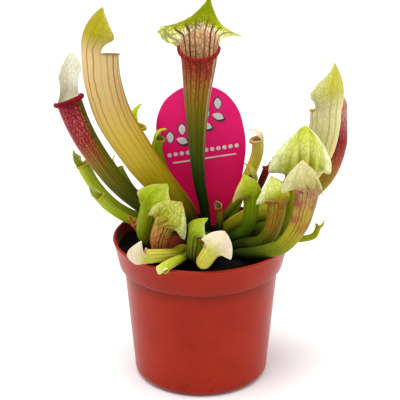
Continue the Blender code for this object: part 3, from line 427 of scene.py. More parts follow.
# Printed polystyrene: smooth and slightly glossy, hot pink that turns redder towards the stake.
label_print, tree, shader = new_material("printed_polystyrene")
spot = add_node(tree, "TexCoord", {}, "Object")
height = add_node(tree, "SeparateXYZ", {0: spot}, "Z")
share = add_node(tree, "MapRange", {"Value": height, "From Min": 70 * MM, "From Max": 150 * MM})
pinks = [(0.0, "#ff1a52"), (1.0, "#ff0480"), (0.3, "#ff1264"), (0.6, "#ff0474")]
film = add_node(tree, "TexNoise", {"Vector": spot, "Scale": 1 / (6 * MM), "Detail": 2.0})
feed(
    shader,
    {
        "Base Color": add_node(tree, "ValToRGB", {0: share}, stops=pinks),
        "Roughness": add_node(tree, "MapRange", {"Value": film, "To Min": 0.3, "To Max": 0.42}),
        "IOR": 1.55,
        "Specular IOR Level": 0.15,
    },
)
half = [
    (0.0, 0.0), (STAKE_HALF_WIDTH, 6.0), (STAKE_HALF_WIDTH, 34.0), (10.5, 42.0), (19.0, 60.0),
    (22.6, 82.0), (18.4, 99.0), (9.0, 107.2),
]
label_outline = half + [(0.0, 109.0)] + [(-x, z) for x, z in reversed(half[1:])]
stake_corners = (0, 1, 2, len(label_outline) - 2, len(label_outline) - 1)
label = flat_shape("label_plate", [label_outline], LABEL_THICKNESS, 0.0, stake_corners, LABEL_EDGE_ROUNDING)
finished(label, label_print, "pink_polystyrene", "plant_label")

# Pale ink and dark ink: thin flat films of screen ink, matt against the plate's gloss.
pale_ink = mottled("pale_screen_ink", 3, 3.0, [(0.3, "#e2d9dc"), (0.7, "#f6f0f1")], {"Roughness": 0.5})
dark_ink = mottled("dark_screen_ink", 3, 3.0, [(0.3, "#2b141c"), (0.7, "#3c1b27")], {"Roughness": 0.5})


def petal(x, z, angle, length, width):
    """A pointed leaf shape that grows from (x, z) at an angle in degrees from upright."""
    turn = math.radians(angle)
    right, up = math.sin(turn), math.cos(turn)
    outline = []
    for share, reach in ((0.0, 0.0), (0.3, 0.42), (0.65, 0.5), (1.0, 0.0), (0.65, -0.5), (0.3, -0.42)):
        along, side = share * length, reach * width
        outline.append((x + right * along + up * side, z + up * along - right * side))
    return outline


leaf_spots = []
for k in range(TRAIL_LEAVES):
    share = k / (TRAIL_LEAVES - 1)
    x = TRAIL_START[0] + TRAIL_LENGTH * share
    z = TRAIL_START[1] + TRAIL_RISE * share**0.8 - TRAIL_SAG * math.sin(math.pi * share)
    leaf_spots.append((x, z, 62 + (56 if k % 2 else -56)))
trail = [petal(x, z, angle, 6.4, 3.4) for x, z, angle in leaf_spots]
trail_shadow = [petal(x - 0.1, z - 0.5, angle, 7.6, 4.4) for x, z, angle in leaf_spots]
dot_places = np.linspace(-DOT_ROW_HALF_LENGTH, DOT_ROW_HALF_LENGTH, DOTS)
dots = [arc(x, DOT_ROW_HEIGHT, DOT_RADIUS, range(0, 360, 45)) for x in dot_places]
rule = [(way * RULE_HALF_LENGTH, RULE_HEIGHTS[0]) for way in (-1, 1)]
rule += [(way * RULE_HALF_LENGTH, RULE_HEIGHTS[1]) for way in (1, -1)]
for side, face in (("front", 1), ("back", -1)):
    for name, outlines, ink, lift, corners in (
        ("trail_shadow", trail_shadow, dark_ink, 1, (0, 3)),
        ("trail", trail, pale_ink, 2, (0, 3)),
        ("dots", dots, pale_ink, 1, ()),
        ("rule", [rule], pale_ink, 1, range(len(rule))),
    ):
        forward = face * (LABEL_THICKNESS / 2 + (lift - 0.5) * INK_THICKNESS)
        printed = flat_shape(f"label_{name}_{side}", outlines, INK_THICKNESS, forward, corners)
        finished(printed, ink, "pink_polystyrene")

# Tall pitchers
# The leaves are living tubes of soft tissue a few tenths of a mm thick, each grown from the crown as
# one piece: a solid stalk that opens into a tube with a thin wing down its front, a rolled lip at
# the mouth and a waved hood that rises from the back of the mouth. These five are the tallest.
LEAF_WALL = 0.55
LEAF_UPRIGHT = 2.2
HOOD_END_HALF_WIDTH = 0.9
HOOD_END_ROUNDING = 0.93
RIB_HEIGHT = 0.09
CREASE_WIDTH = 1.3
FOLD_SPACING = 5.2
FOLDS_REACH = 9.0
RIPPLES = 4.3
RIPPLE_SHARE = 0.35
LOBE_DEPTH = 9.5
EAR_HEIGHT = 0.09
LIP_ROLL = 210.0
LIP_REACH_OUT = 0.55
LIP_REACH_UP = 0.7
LIP_WALL_SHARE = 0.6
LIP_MARK = 0.8
SKIN_CLOUD_SIZE = 7.0
SKIN_CLOUD_SHIFT = 0.12
NET_WANDER = 0.9

# The usual measures of a leaf and of its hood, in mm and degrees, for each that isn't given.
USUAL_LEAF = dict(
    faces_up=0.0, petiole=1.8, swell=1.1, narrow=1.0, keel=1.0, slant=15.0, lip=1.2, crease=0.6, folds=0.0,
)
USUAL_HOOD = dict(
    length=12.0, half_width=6.0, bend=(0.0, 50.0), broad=0.5, neck=0.12, cup=45.0, pointed=0.4, wave=0.4,
    waves=1.2, phase=0.0, droop=2.0, roll=0.0, fan=0.0, tip=1.5, sway=0.0, uneven=0.0, ear=0.0,
    lobes=0.0, corner=1.0,
)
# By size: the sides and rows of the solid's grid, then those of this finer one, the share of the tube
# that is hollow, and how many of the solid's sides the hood takes each way from the back. A small
# leaf has usual measures of its own as well.
SIZES = {
    "large": dict(cad=16, cad_rows=12, sides=64, rows=110, hood_rows=34, lip_rows=8, hollow=3 / 12, back=3),
    "medium": dict(cad=12, cad_rows=8, sides=48, rows=64, hood_rows=26, lip_rows=6, hollow=2 / 8, back=2),
    "small": dict(
        cad=8, cad_rows=6, sides=32, rows=44, hood_rows=16, lip_rows=4, hollow=1 / 6, back=2,
        petiole=1.4, keel=0.4, lip=0.3, crease=0.2,
    ),
}


def ease(t):
    t = np.clip(t, 0.0, 1.0)
    return t * t * (3 - 2 * t)


def smooth_path(points, count):
    """count + 1 even steps along a smooth curve through the points, and the distance at each."""
    given = [np.array(p, float) for p in points]
    given = [2 * given[0] - given[1]] + given + [2 * given[-1] - given[-2]]
    fine = []
    for a, b, c, d in zip(given, given[1:], given[2:], given[3:]):
        for t in np.linspace(0, 1, 16, endpoint=False):
            curve = 2 * b + (c - a) * t + (2 * a - 5 * b + 4 * c - d) * t * t
            fine.append(0.5 * (curve + (3 * b - a - 3 * c + d) * t**3))
    fine.append(given[-2])
    fine = np.array(fine)
    length = np.concatenate([[0], np.cumsum(np.linalg.norm(np.diff(fine, axis=0), axis=1))])
    even = np.linspace(0, length[-1], count + 1)
    return np.column_stack([np.interp(even, length, fine[:, k]) for k in range(3)]), even


def path_frames(path, coarse, faces, faces_up):
    """(along, front, side) for each point of the path, untwisted, with front set at the mouth.

    along follows the coarse steps that the solid was made with, so that the mouth tilts alike.
    """
    steps = np.gradient(coarse, axis=0)
    share, own = np.linspace(0, 1, len(path)), np.linspace(0, 1, len(coarse))
    along = np.column_stack([np.interp(share, own, steps[:, k]) for k in range(3)])
    along /= np.linalg.norm(along, axis=1)[:, None]
    turn, tip = math.radians(faces), math.radians(faces_up)
    level = math.cos(tip)
    front = np.array([math.cos(turn) * level, math.sin(turn) * level, math.sin(tip)])
    frames = []
    for tangent in along[::-1]:
        front = front - tangent * (front @ tangent)
        front /= np.linalg.norm(front)
        frames.append((tangent, front, np.cross(tangent, front)))
    return np.array(frames[::-1]).transpose(1, 0, 2)


def tube_points(leaf, path, frames, run, angles, inset=0.0):
    """The tube's skin over all its rows, in space and straightened out, both in mm."""
    along, front, side = frames
    share = run / leaf["length"]
    grown = np.clip((share - leaf["buried"]) / (1 - leaf["buried"]), 0, 1)
    radius = leaf["petiole"] + (leaf["mouth"] - leaf["petiole"]) * grown ** leaf["swell"] - inset
    radius = radius[:, None]
    cos, sin = np.cos(angles)[None, :], np.sin(angles)[None, :]
    reach = radius + 0 * cos
    if not inset:
        midway = np.sin(math.pi * grown)[:, None]
        reach = reach + leaf["keel"] * midway * np.maximum(0, cos) ** 24
        reach = reach + RIB_HEIGHT * (np.cos(angles * leaf["cad"])[None, :] * midway**0.5)
    slant = -cos * radius * math.tan(math.radians(leaf["slant"])) * ease((share - 0.6) / 0.4)[:, None]
    narrow = (1 - (1 - leaf["narrow"]) * ease(grown * 3))[:, None]
    x, y, z = reach * cos, reach * sin * narrow, slant
    spots = path[:, None] + front[:, None] * x[..., None] + side[:, None] * y[..., None]
    spots = spots + along[:, None] * z[..., None]
    straight = np.stack([x + 0 * y, y, z + run[:, None]], -1)
    return spots, straight, grown


def hood_points(leaf, centre, frame, across, up):
    """The hood's middle skin for arrays of across (-1 to 1) and up (0 to 1), in both ways."""
    along, front, side = frame
    hood = leaf["hood"]
    half_arc, radius = leaf["back_arc"], leaf["mouth"]

    # The bend forward from the tube's back to the tip.
    start, end = (math.radians(a) for a in hood["bend"])
    turn = start + (end - start) * up
    forward = hood["length"] * (math.cos(start) - np.cos(turn)) / (end - start)
    rise = hood["length"] * (np.sin(turn) - math.sin(start)) / (end - start)

    # The width up to broad and past it, and the arc from the tube's own to the hood's cup.
    broad, half_width = hood["broad"], hood["half_width"]
    cup = math.radians(hood["cup"])
    widening = ease(up / broad) ** hood["corner"]
    low_width = radius * half_arc * (1 - hood["neck"] * np.sin(math.pi * np.minimum(1, up / broad)))
    low_width = low_width + (half_width - radius * half_arc) * widening
    past = np.clip((up - broad) / (1 - broad), 0, 1)
    round_end = np.sqrt(1 - HOOD_END_ROUNDING * past * past)
    drawn_out = (1 + np.cos(math.pi * past)) / 2
    high_width = half_width * (round_end + hood["pointed"] * (drawn_out - round_end))
    high_width = np.maximum(high_width, HOOD_END_HALF_WIDTH)
    width = np.where(up < broad, low_width, high_width)
    arc = np.where(up < broad, half_arc + (cup - half_arc) * widening, cup * high_width / half_width)
    bow = width / arc * (1 + hood["uneven"] * np.copysign(widening, across))
    width_way = bow * np.sin(arc * across)
    depth_way = bow * (1 - np.cos(arc * across))

    # Waves up the sides, the crease down the middle and the soft folds beside it.
    spread = across * width / half_width
    hang = (1.5 - 1.5 * hood["roll"]) * abs(spread) + (1.5 * hood["roll"] - 0.5) * abs(spread) ** 3
    side_phase = hood["phase"] + np.where(across > 0, math.pi / 2, 0.0)
    soft = ease(up * 3)
    wave = hood["wave"] * spread**2 * soft * np.sin(math.tau * hood["waves"] * up + side_phase)
    ripple = np.sin(math.tau * RIPPLES * up + 1.7 * side_phase)
    wave = wave + RIPPLE_SHARE * hood["wave"] * spread**4 * soft * ripple
    crease = -leaf["crease"] * np.exp(-((width_way / CREASE_WIDTH) ** 2)) * np.sin(math.pi * up)
    near_middle = np.exp(-((width_way / FOLDS_REACH) ** 2)) * ease(up * 6) * (1 - 0.9 * up)
    crease = crease - leaf["folds"] * np.cos(math.tau * width_way / FOLD_SPACING) * near_middle

    # What hangs: drooping sides, lower side lobes, the tip and an ear at the broadest place.
    fan = hood["fan"] * (1 + 2 * hood["uneven"] * np.sign(across)) * spread**2 * (up - broad)
    droop = fan - hood["droop"] * hang * ease(up * 1.2)
    lobes = LOBE_DEPTH * hood["lobes"] * spread**2 * widening * up * (1 - up) ** 3
    tip = hood["tip"] * np.maximum(0.0, 1 - abs(spread) * 3) * up**4
    ear = hood["ear"] * np.maximum(0.0, -across) ** 5 * np.exp(-(((up - broad) / EAR_HEIGHT) ** 2))
    narrow = leaf["narrow"] + (1 - leaf["narrow"]) * widening
    slope = math.tan(math.radians(leaf["slant"]))
    slant = slope * radius * (1 - (1 - up) * (1 - np.cos(half_arc * across)))
    normal = front * np.cos(turn)[..., None] - along * np.sin(turn)[..., None]
    ahead = front * np.sin(turn)[..., None] + along * np.cos(turn)[..., None]
    spots = (
        centre
        - front * radius
        + along * (slant + rise - 0.35 * ear - lobes)[..., None]
        + front * forward[..., None]
        - side * (width_way * narrow + hood["sway"] * up - ear)[..., None]
        + normal * (depth_way + wave + crease)[..., None]
        + ahead * (tip + droop)[..., None]
    )
    sideways = across * width
    straight = np.stack([0 * sideways - radius, -sideways, leaf["length"] + hood["length"] * up], -1)
    return spots, straight


def hood_normals(leaf, centre, frame, across, up, step=0.02):
    """Away from the mouth's side of the hood."""

    def skin(across, up):
        return hood_points(leaf, centre, frame, np.clip(across, -1, 1), np.clip(up, 0, 1))[0]

    over = skin(across + step, up) - skin(across - step, up)
    normal = np.cross(over, skin(across, up + step) - skin(across, up - step))
    return normal / np.linalg.norm(normal, axis=-1)[..., None]


def grow_leaf(node, size, surface, slot, **given):
    """One leaf as a closed sheet on a fine grid, with what its colours follow kept on its points.

    straight is where a point lies with the leaf unbent, in metres. place holds the share round
    from the back, the share up the tube and the share up the hood. marks holds the lip, the
    inside and the share across the hood. flank runs from -1 to 1 from one side to the other.
    """
    leaf = {**USUAL_LEAF, **SIZES[size], **given, "hood": {**USUAL_HOOD, **given["hood"]}}
    sides, rows = leaf["sides"], leaf["rows"]
    back = leaf["back"] * sides // leaf["cad"]
    leaf["back_arc"] = math.tau * back / sides
    stalk = [(*leaf["root"], SOIL_LEVEL + lift) for lift in (-HOLE_DEPTH, -3.0, LEAF_UPRIGHT)]
    path, run = smooth_path(stalk + leaf["path"], rows)
    coarse, _ = smooth_path(stalk + leaf["path"], leaf["cad_rows"])
    leaf["length"] = run[-1]
    leaf["buried"] = (HOLE_DEPTH + 0.5) / run[-1]
    frames = path_frames(path, coarse, leaf["faces"], leaf["faces_up"])
    angles = math.tau * np.arange(sides) / sides
    points, faces, half_edges = [], [], []
    followed = {"straight": [], "place": [], "marks": [], "flank": []}

    def add(spots, *values):
        """Adds a block of points with what they follow, and gives their numbers in its own shape."""
        first = sum(len(block) for block in points)
        shape = spots.shape[:-1]
        points.append(spots.reshape(-1, 3))
        for (title, blocks), value in zip(followed.items(), values):
            full = shape if title == "flank" else spots.shape
            blocks.append(np.broadcast_to(value, full).reshape(-1, *full[len(shape) :]))
        return first + np.arange(np.prod(shape, dtype=int)).reshape(shape)

    # The tube outside, its hollow and the two middle points that close them.
    outside, straight, grown = tube_points(leaf, path, frames, run, angles)
    around = abs(angles / math.pi - 1)[None, :] + 0 * grown[:, None]
    place = np.stack([around, grown[:, None] + 0 * around, 0 * around], -1)
    flank = -np.sin(angles)[None, :]
    outer = add(outside, straight, place, (0.0, 0.0, 0.0), flank)
    deepest = round(rows * (1 - leaf["hollow"]))
    inside, straight, _ = tube_points(leaf, path, frames, run, angles, LEAF_WALL)
    hollow = add(inside[deepest:], straight[deepest:], place[deepest:], (0.0, 1.0, 0.0), flank)
    caps = add(path[[0, deepest]], (0.0, 0.0, 0.0), (0.0, 0.0, 0.0), (0.0, 1.0, 0.0), 0.0)
    for block, inward in ((outer, False), (hollow, True)):
        near = np.roll(block, -1, axis=1)
        ring = [block[:-1], near[:-1], near[1:], block[1:]]
        faces += np.stack(ring[::-1] if inward else ring, -1).reshape(-1, 4).tolist()
    for k in range(sides):
        n = (k + 1) % sides
        faces.append((caps[0], outer[0][n], outer[0][k]))
        faces.append((caps[1], hollow[0][k], hollow[0][n]))
    inner = dict(zip(outer[-1].tolist(), hollow[-1].tolist()))

    def cover(below, row):
        """The faces between two rows of the sheet's outside, with their twins inside."""
        for corners in zip(below, below[1:], row[1:], row):
            corners = tuple(dict.fromkeys(int(c) for c in corners))
            faces.append(corners)
            faces.append(tuple(inner[c] for c in corners)[::-1])
            half_edges.extend(zip(corners, corners[1:] + corners[:1]))

    # The hood, from the back of the mouth.
    mouth, frame = path[-1], frames[:, -1]
    up = (np.arange(1, leaf["hood_rows"] + 1) / leaf["hood_rows"])[:, None] + np.zeros(2 * back + 1)
    across = np.linspace(-1, 1, 2 * back + 1)[None, :] + 0 * up
    spots, straight = hood_points(leaf, mouth, frame, across, up)
    wall = LEAF_WALL * (1 - 0.5 * abs(across) ** 6)[..., None]
    within = spots - wall * hood_normals(leaf, mouth, frame, across, up)
    place = np.stack([abs(across) * leaf["back_arc"] / math.pi, 0 * up + 1, up], -1)
    marks = np.stack([0 * up, 0 * up, abs(across)], -1)
    hood_out = add(spots, straight, place, marks, across)
    hood_in = add(within, straight, place, marks + (0.0, 1.0, 0.0), across)
    inner.update(zip(hood_out.ravel().tolist(), hood_in.ravel().tolist()))
    below = outer[-1][sides // 2 - back : sides // 2 + back + 1]
    for row in hood_out:
        cover(below, row)
        below = row

    # The lip, rolled outward round the rest of the mouth.
    along, front, side = frame
    ring = np.arange(sides // 2 + back, sides // 2 - back + sides + 1)
    turn = math.tau * ring / sides
    ring = ring % sides
    cos, sin = np.cos(turn), np.sin(turn)
    outward = cos[:, None] * front + sin[:, None] * side
    reach = leaf["lip"] * np.sin(math.pi * np.linspace(0, 1, len(turn)))[:, None] ** 0.5
    below = outer[-1][ring].tolist()
    for j in range(1, leaf["lip_rows"] + 1):
        roll = math.radians(LIP_ROLL * j / leaf["lip_rows"])
        spots = outside[-1][ring] + outward * reach * LIP_REACH_OUT * (1 - math.cos(roll))
        spots = spots + along * reach * LIP_REACH_UP * math.sin(roll)
        thick = along * math.sin(roll) - outward * math.cos(roll)
        straight = np.stack([cos * leaf["mouth"], sin * leaf["mouth"], 0 * turn + run[-1] + j * 0.2], -1)
        place = np.stack([abs((turn / math.pi) % 2 - 1), 0 * turn + 1, 0 * turn], -1)
        values = (straight[1:-1], place[1:-1], (1.0, 0.0, 0.0), -sin[1:-1])
        row = add(spots[1:-1], *values).tolist()
        under = add((spots + thick * LEAF_WALL * LIP_WALL_SHARE)[1:-1], *values).tolist()
        inner.update(zip(row, under))
        row = [below[0]] + row + [below[-1]]
        cover(below, row)
        below = row

    half_edges += [(int(outer[-1][(k + 1) % sides]), int(outer[-1][k])) for k in range(sides)]
    drawn = set(half_edges)
    faces += [(b, a, inner[a], inner[b]) for a, b in half_edges if (b, a) not in drawn]
    name = node.replace("pitcher_", "leaf_").replace("_sheath", "_bract")
    mesh = bpy.data.meshes.new(name)
    mesh.from_pydata((np.concatenate(points) * MM).tolist(), [], faces)
    followed = {title: np.concatenate(blocks) for title, blocks in followed.items()}
    followed["straight"] *= MM
    followed["marks"][np.concatenate([outer[-1][ring], hollow[-1][ring]]), 0] = LIP_MARK
    for title, values in followed.items():
        kind, key = ("FLOAT", "value") if title == "flank" else ("FLOAT_VECTOR", "vector")
        values = values.astype(np.float32).ravel()
        mesh.attributes.new(title, kind, "POINT").data.foreach_set(key, values)
    mesh.shade_smooth()
    mesh.set_sharp_from_angle(angle=math.radians(60))
    finished(into_scene(name, mesh), surface, slot, node)


def leaf_skin(name, tube, hood, throat, lip, vein, net=(0.6, 1.0, 0.7), lines=(0.2, 0.9, 0.4),
              cell=2.4, count=9, hood_vein=None, hood_net=0.5, inner_vein=None, inner_reach=0.45,
              edge=None, flank=None, wing=None, gloss=0.38, line_width=0.12, seam=0.12,
              faintest=0.25, long_width=0.16, blotch=None):
    """Living leaf: satin skin with a little light passing through it.

    tube and hood are stops of colour up the leaf. net and lines give where the raised net and the
    long veins start and end up the tube, and how strongly they show; cell is the net's cell in mm
    and line_width the net's own width in cells. seam is how far up the hood the tube's colour runs.
    flank is a colour down one side of the tube, and blotch one in clouds near its mouth. faintest is
    the weakest long vein's share of vein, and long_width the long veins' width in spaces. edge is the
    colour by the hood's edge, hood_net how strongly the hood's own veins show, and inner_reach how
    far up inside it the inner veins run. wing is the colour along the tube's wing.
    """
    made, tree, shader = new_material(name)
    place, straight, marks = (
        add_node(tree, "Attribute", {}, "Vector", attribute_name=title)
        for title in ("place", "straight", "marks")
    )
    sideways, grown, risen = add_node(tree, "SeparateXYZ", {0: place}).node.outputs
    on_lip, inside, across = add_node(tree, "SeparateXYZ", {0: marks}).node.outputs
    clouds = {"Vector": straight, "Scale": 1 / (SKIN_CLOUD_SIZE * MM), "Detail": 3.0}
    cloud = add_node(tree, "TexNoise", clouds)
    shift = {0: cloud, 1: SKIN_CLOUD_SHIFT, 2: -SKIN_CLOUD_SHIFT / 2}
    drift = add_node(tree, "Math", shift, operation="MULTIPLY_ADD")
    level = add_node(tree, "Math", {0: grown, 1: drift})
    hood_level = add_node(tree, "Math", {0: risen, 1: drift})

    def mask(*parts):
        """The product of its parts. Each is a value, or a range of one: (value, empty, full, most)."""
        product = None
        for part in parts:
            if isinstance(part, tuple):
                value, empty, full, most = part
                ends = {"Value": value, "From Min": empty, "From Max": full, "To Max": most}
                part = add_node(tree, "MapRange", ends)
            if product is None:
                product = part
            else:
                product = add_node(tree, "Math", {0: product, 1: part}, operation="MULTIPLY")
        return product

    def lay(over, *parts):
        """The colour so far with another over it, as far as the mask of the parts goes."""
        return add_node(tree, "Mix", {0: mask(*parts), 6: colour, 7: over}, 2, data_type="RGBA")

    # Where each tint lies: on the wing, by the hood's edge, in clouds, from half way up the tube,
    # deep in the tube, and inside the hood near the mouth.
    by_wing = (sideways, 0.9, 0.955, 0.85)
    by_edge = (across, 0.55, 1.0, 0.8)
    in_clouds = (cloud, 0.4, 0.74, 1.0)
    high_up = (level, 0.35, 0.7, 1.0)
    deep_down = (grown, 0.94, 0.76, 1.0)
    by_mouth = (risen, inner_reach, 0.35 * inner_reach, 1.0)

    colour = add_node(tree, "ValToRGB", {0: hood_level}, stops=hood)
    if edge:
        colour = lay(linear(edge), by_edge)
    hood_colour = colour
    colour = add_node(tree, "ValToRGB", {0: level}, stops=tube)
    if wing:
        colour = lay(linear(wing), by_wing)
    on_hood = mask((risen, 0.0, seam, 1.0))
    hood_or_inside = add_node(tree, "Math", {0: on_hood, 1: inside}, operation="MAXIMUM")
    off_hood = add_node(tree, "Math", {0: 1.0, 1: hood_or_inside}, operation="SUBTRACT")
    colour = lay(hood_colour, hood_or_inside)
    if blotch:
        colour = lay(linear(blotch[0]), in_clouds, (level, *blotch[1:], 1.0), off_hood)
    if flank:
        side = add_node(tree, "Attribute", {}, "Fac", attribute_name="flank")
        ends = {"Value": side, "From Min": flank[1], "From Max": flank[2], "To Max": flank[3]}
        shade = add_node(tree, "MapRange", ends, interpolation_type="SMOOTHSTEP")
        colour = lay(linear(flank[0]), shade, off_hood, high_up)
    colour = lay(linear(lip), on_lip)

    # The net: rounded cells of the leaf's own size, drawn out along it, with the vein between them.
    wander = {"Vector": straight, "Scale": 1 / (3 * MM), "Detail": 2.0}
    astray = {0: add_node(tree, "TexNoise", wander, "Color"), 1: (NET_WANDER * MM,) * 3}
    bent = {0: straight, 1: add_node(tree, "VectorMath", astray, operation="MULTIPLY")}
    shrink = (1 / (cell * MM), 1 / (cell * MM), 0.55 / (cell * MM))
    drawn = {0: add_node(tree, "VectorMath", bent), 1: shrink}
    cells = {"Vector": add_node(tree, "VectorMath", drawn, operation="MULTIPLY"), "Scale": 1.0}
    to_edge = add_node(tree, "TexVoronoi", cells, feature="DISTANCE_TO_EDGE")
    mesh_line = mask((to_edge, line_width, 0.02, 1.0))
    # The long veins: fixed in number round the leaf, so they draw together as the stalk narrows.
    counted = {0: sideways, 1: float(count), 2: mask(cloud, 0.5)}
    turn = add_node(tree, "Math", counted, operation="MULTIPLY_ADD")
    beat = add_node(tree, "Math", {0: turn, 1: 0.5}, operation="PINGPONG")
    each = add_node(tree, "Math", {0: turn}, operation="ROUND")
    chance = add_node(tree, "TexWhiteNoise", {"W": each}, noise_dimensions="1D")
    fullness = add_node(tree, "MapRange", {"Value": chance, "To Min": faintest, "To Max": 1.0})
    long_line = mask((beat, long_width, 0.35 * long_width, 1.0), fullness)
    on_tube = {0: mask(mesh_line, (level, *net)), 1: mask(long_line, (level, *lines))}
    colour = lay(linear(vein), add_node(tree, "Math", on_tube, operation="MAXIMUM"), off_hood)
    line = add_node(tree, "Math", {0: mesh_line, 1: long_line}, operation="MAXIMUM")
    colour = lay(linear(hood_vein or vein), line, on_hood, hood_net)
    if inner_vein:
        fine = add_node(tree, "Math", {0: mask(mesh_line, 0.55), 1: long_line}, operation="MAXIMUM")
        colour = lay(linear(inner_vein), by_mouth, inside, fine)
    sheen = {"Value": cloud, "To Min": gloss - 0.06, "To Max": gloss + 0.08}
    feed(
        shader,
        {
            "Base Color": lay(linear(throat), inside, deep_down),
            "Normal": add_node(tree, "Bump", {"Strength": 0.35, "Distance": 0.25 * MM, "Height": line}),
            "Roughness": add_node(tree, "MapRange", sheen),
            "IOR": 1.42,
            "Specular IOR Level": 0.08,
            "Subsurface Weight": 0.12,
            "Subsurface Radius": (1.2, 1.0, 0.35),
            "Subsurface Scale": 0.6 * MM,
        },
    )
    return made


# Skins: the same satin tissue in each leaf's own colours. Olive that reddens to the mouth, amber
# with brown lines, green turning crimson in a dark net, pale yellow, and olive turning rose.
centre_skin = leaf_skin(
    "centre_pitcher_tissue",
    tube=[
        (0.0, "#122a08"), (1.0, "#94301c"), (0.25, "#1c380a"), (0.45, "#364c08"), (0.6, "#545c04"),
        (0.74, "#7c6c08"), (0.84, "#9c7028"), (0.92, "#a0482c"),
    ],
    hood=[
        (0.0, "#ffd09c"), (1.0, "#a4ae0a"), (0.1, "#ffe6bc"), (0.22, "#f0dc90"), (0.32, "#b4b81c"),
        (0.85, "#9aa806"),
    ],
    throat="#5c140c", lip="#902018", vein="#581206", net=(0.62, 0.95, 0.7), lines=(0.25, 0.85, 0.9),
    cell=1.5, hood_vein="#6f800c", inner_vein="#380604", inner_reach=0.62, edge="#d4dc8c",
    flank=("#c09868", -0.66, -0.82, 0.8), line_width=0.18, faintest=0.7, long_width=0.22,
)
amber_skin = leaf_skin(
    "amber_pitcher_tissue",
    tube=[
        (0.0, "#2c2008"), (1.0, "#ccb27c"), (0.12, "#504808"), (0.24, "#887a06"), (0.38, "#b0980e"),
        (0.62, "#c6aa42"), (0.8, "#c8ac6a"),
    ],
    hood=[(0.0, "#b09a48"), (1.0, "#98900a"), (0.3, "#a29418"), (0.6, "#968e08")],
    throat="#8a5a20", lip="#9c8c30", vein="#985220", net=(0.9, 1.0, 0.0), lines=(0.1, 0.9, 0.85), count=8,
    hood_vein="#786c0c", hood_net=0.35, edge="#b4a84c", wing="#a87c1c", seam=0.4,
)
crimson_skin = leaf_skin(
    "crimson_pitcher_tissue",
    tube=[
        (0.0, "#182806"), (1.0, "#b02838"), (0.24, "#283c08"), (0.42, "#46580a"), (0.58, "#6a6c10"),
        (0.68, "#946c28"), (0.78, "#b45440"), (0.9, "#c45058"),
    ],
    hood=[(0.0, "#f0ecd4"), (1.0, "#f4f2e2"), (0.5, "#f2f0dc")],
    throat="#6c0818", lip="#8c0c20", vein="#5c0614", net=(0.6, 0.8, 0.95), lines=(0.12, 0.5, 0.9),
    cell=1.15, count=10, hood_vein="#8c9070", hood_net=0.4, flank=("#66820a", -0.35, -0.65, 0.95),
    line_width=0.24, faintest=0.6, long_width=0.2,
)
pale_skin = leaf_skin(
    "pale_yellow_pitcher_tissue",
    tube=[(0.0, "#5c6206"), (1.0, "#d8d098"), (0.25, "#98981a"), (0.5, "#beb844"), (0.75, "#d0c67a")],
    hood=[(0.0, "#c8c070"), (1.0, "#b4b02c"), (0.4, "#bcb448")],
    throat="#a07c20", lip="#bc981c", vein="#8c7830", net=(0.5, 1.0, 0.25), lines=(0.1, 0.9, 0.7),
    cell=1.8, count=7, hood_vein="#8c842c", hood_net=0.45, edge="#dcdaa4", wing="#c09c34", seam=0.4,
)
rose_skin = leaf_skin(
    "rose_pitcher_tissue",
    tube=[
        (0.0, "#34440a"), (1.0, "#c49088"), (0.35, "#727808"), (0.55, "#8c8414"), (0.66, "#a07030"),
        (0.74, "#a4543c"), (0.83, "#8c2c30"), (0.92, "#ac6060"),
    ],
    hood=[(0.0, "#b87874"), (1.0, "#bc9c74")],
    throat="#5c1414", lip="#a4605c", vein="#741422", net=(0.5, 0.85, 0.7), lines=(0.2, 0.8, 0.7),
    cell=1.6, count=7, hood_net=0.4, line_width=0.22,
)
grow_leaf(
    "pitcher_centre", "large", centre_skin, "leaf_olive", root=(3, 17), faces=268, mouth=9.9, petiole=2.4,
    swell=2.0, keel=1.5, slant=20, lip=1.6, back=4,
    path=[(1.5, 15.5, 86), (-1, 12, 101), (-2, 9, 119), (-2, 6, 146), (-1, 4, 166), (-1, 3, 175.5)],
    hood=dict(
        length=16.5, half_width=18, bend=(-20, 20), broad=0.42, neck=0.0, cup=20, pointed=0.85, wave=1.8,
        waves=1.0, droop=9, roll=-0.25, fan=13, tip=3, sway=-5, uneven=0.3, ear=7,
    ),
)
grow_leaf(
    "pitcher_left_tall", "large", amber_skin, "leaf_yellow", root=(-4, 17), faces=12, mouth=9.3,
    petiole=2.2, swell=0.45, narrow=0.72, keel=2.0, slant=4, lip=0.4, back=4,
    path=[
        (-8, 14.5, 82), (-16, 10.5, 93), (-26, 7, 106.5), (-33, 5, 117.5), (-44, 3, 138), (-49, 4, 156.5),
        (-50, 8, 169.5),
    ],
    hood=dict(length=25.5, half_width=22, bend=(0, 53), neck=0.1, cup=85, pointed=0.1, droop=1, tip=1),
)
grow_leaf(
    "pitcher_left_red", "large", crimson_skin, "leaf_crimson", root=(-9.5, 12), faces=285, mouth=6.5,
    petiole=2.2, swell=0.6, slant=0, lip=2.0,
    path=[(-18, 10.5, 80), (-31, 9.5, 89), (-43, 7, 102), (-54, 5, 119), (-61, 4, 133), (-66, 5, 146.5)],
    hood=dict(
        length=20, half_width=7.5, bend=(10, -15), broad=0.6, neck=0.2, cup=60, pointed=0.2, wave=0.8,
        droop=1, tip=1, sway=-9,
    ),
)
grow_leaf(
    "pitcher_right_tall", "large", pale_skin, "leaf_yellow", root=(13, 16.8), faces=172, mouth=7.8,
    petiole=2.2, swell=0.5, narrow=0.75, keel=1.5, slant=5, lip=0.4, back=6,
    path=[
        (25, 15, 78.8), (41, 14, 86), (52, 12.5, 101.4), (60, 11.5, 117.2), (62.5, 11.5, 129.7),
        (63, 13.5, 138.3),
    ],
    hood=dict(
        length=23.5, half_width=23, bend=(-8, 30), neck=0.0, cup=100, pointed=0.2, droop=0.5, tip=1,
    ),
)
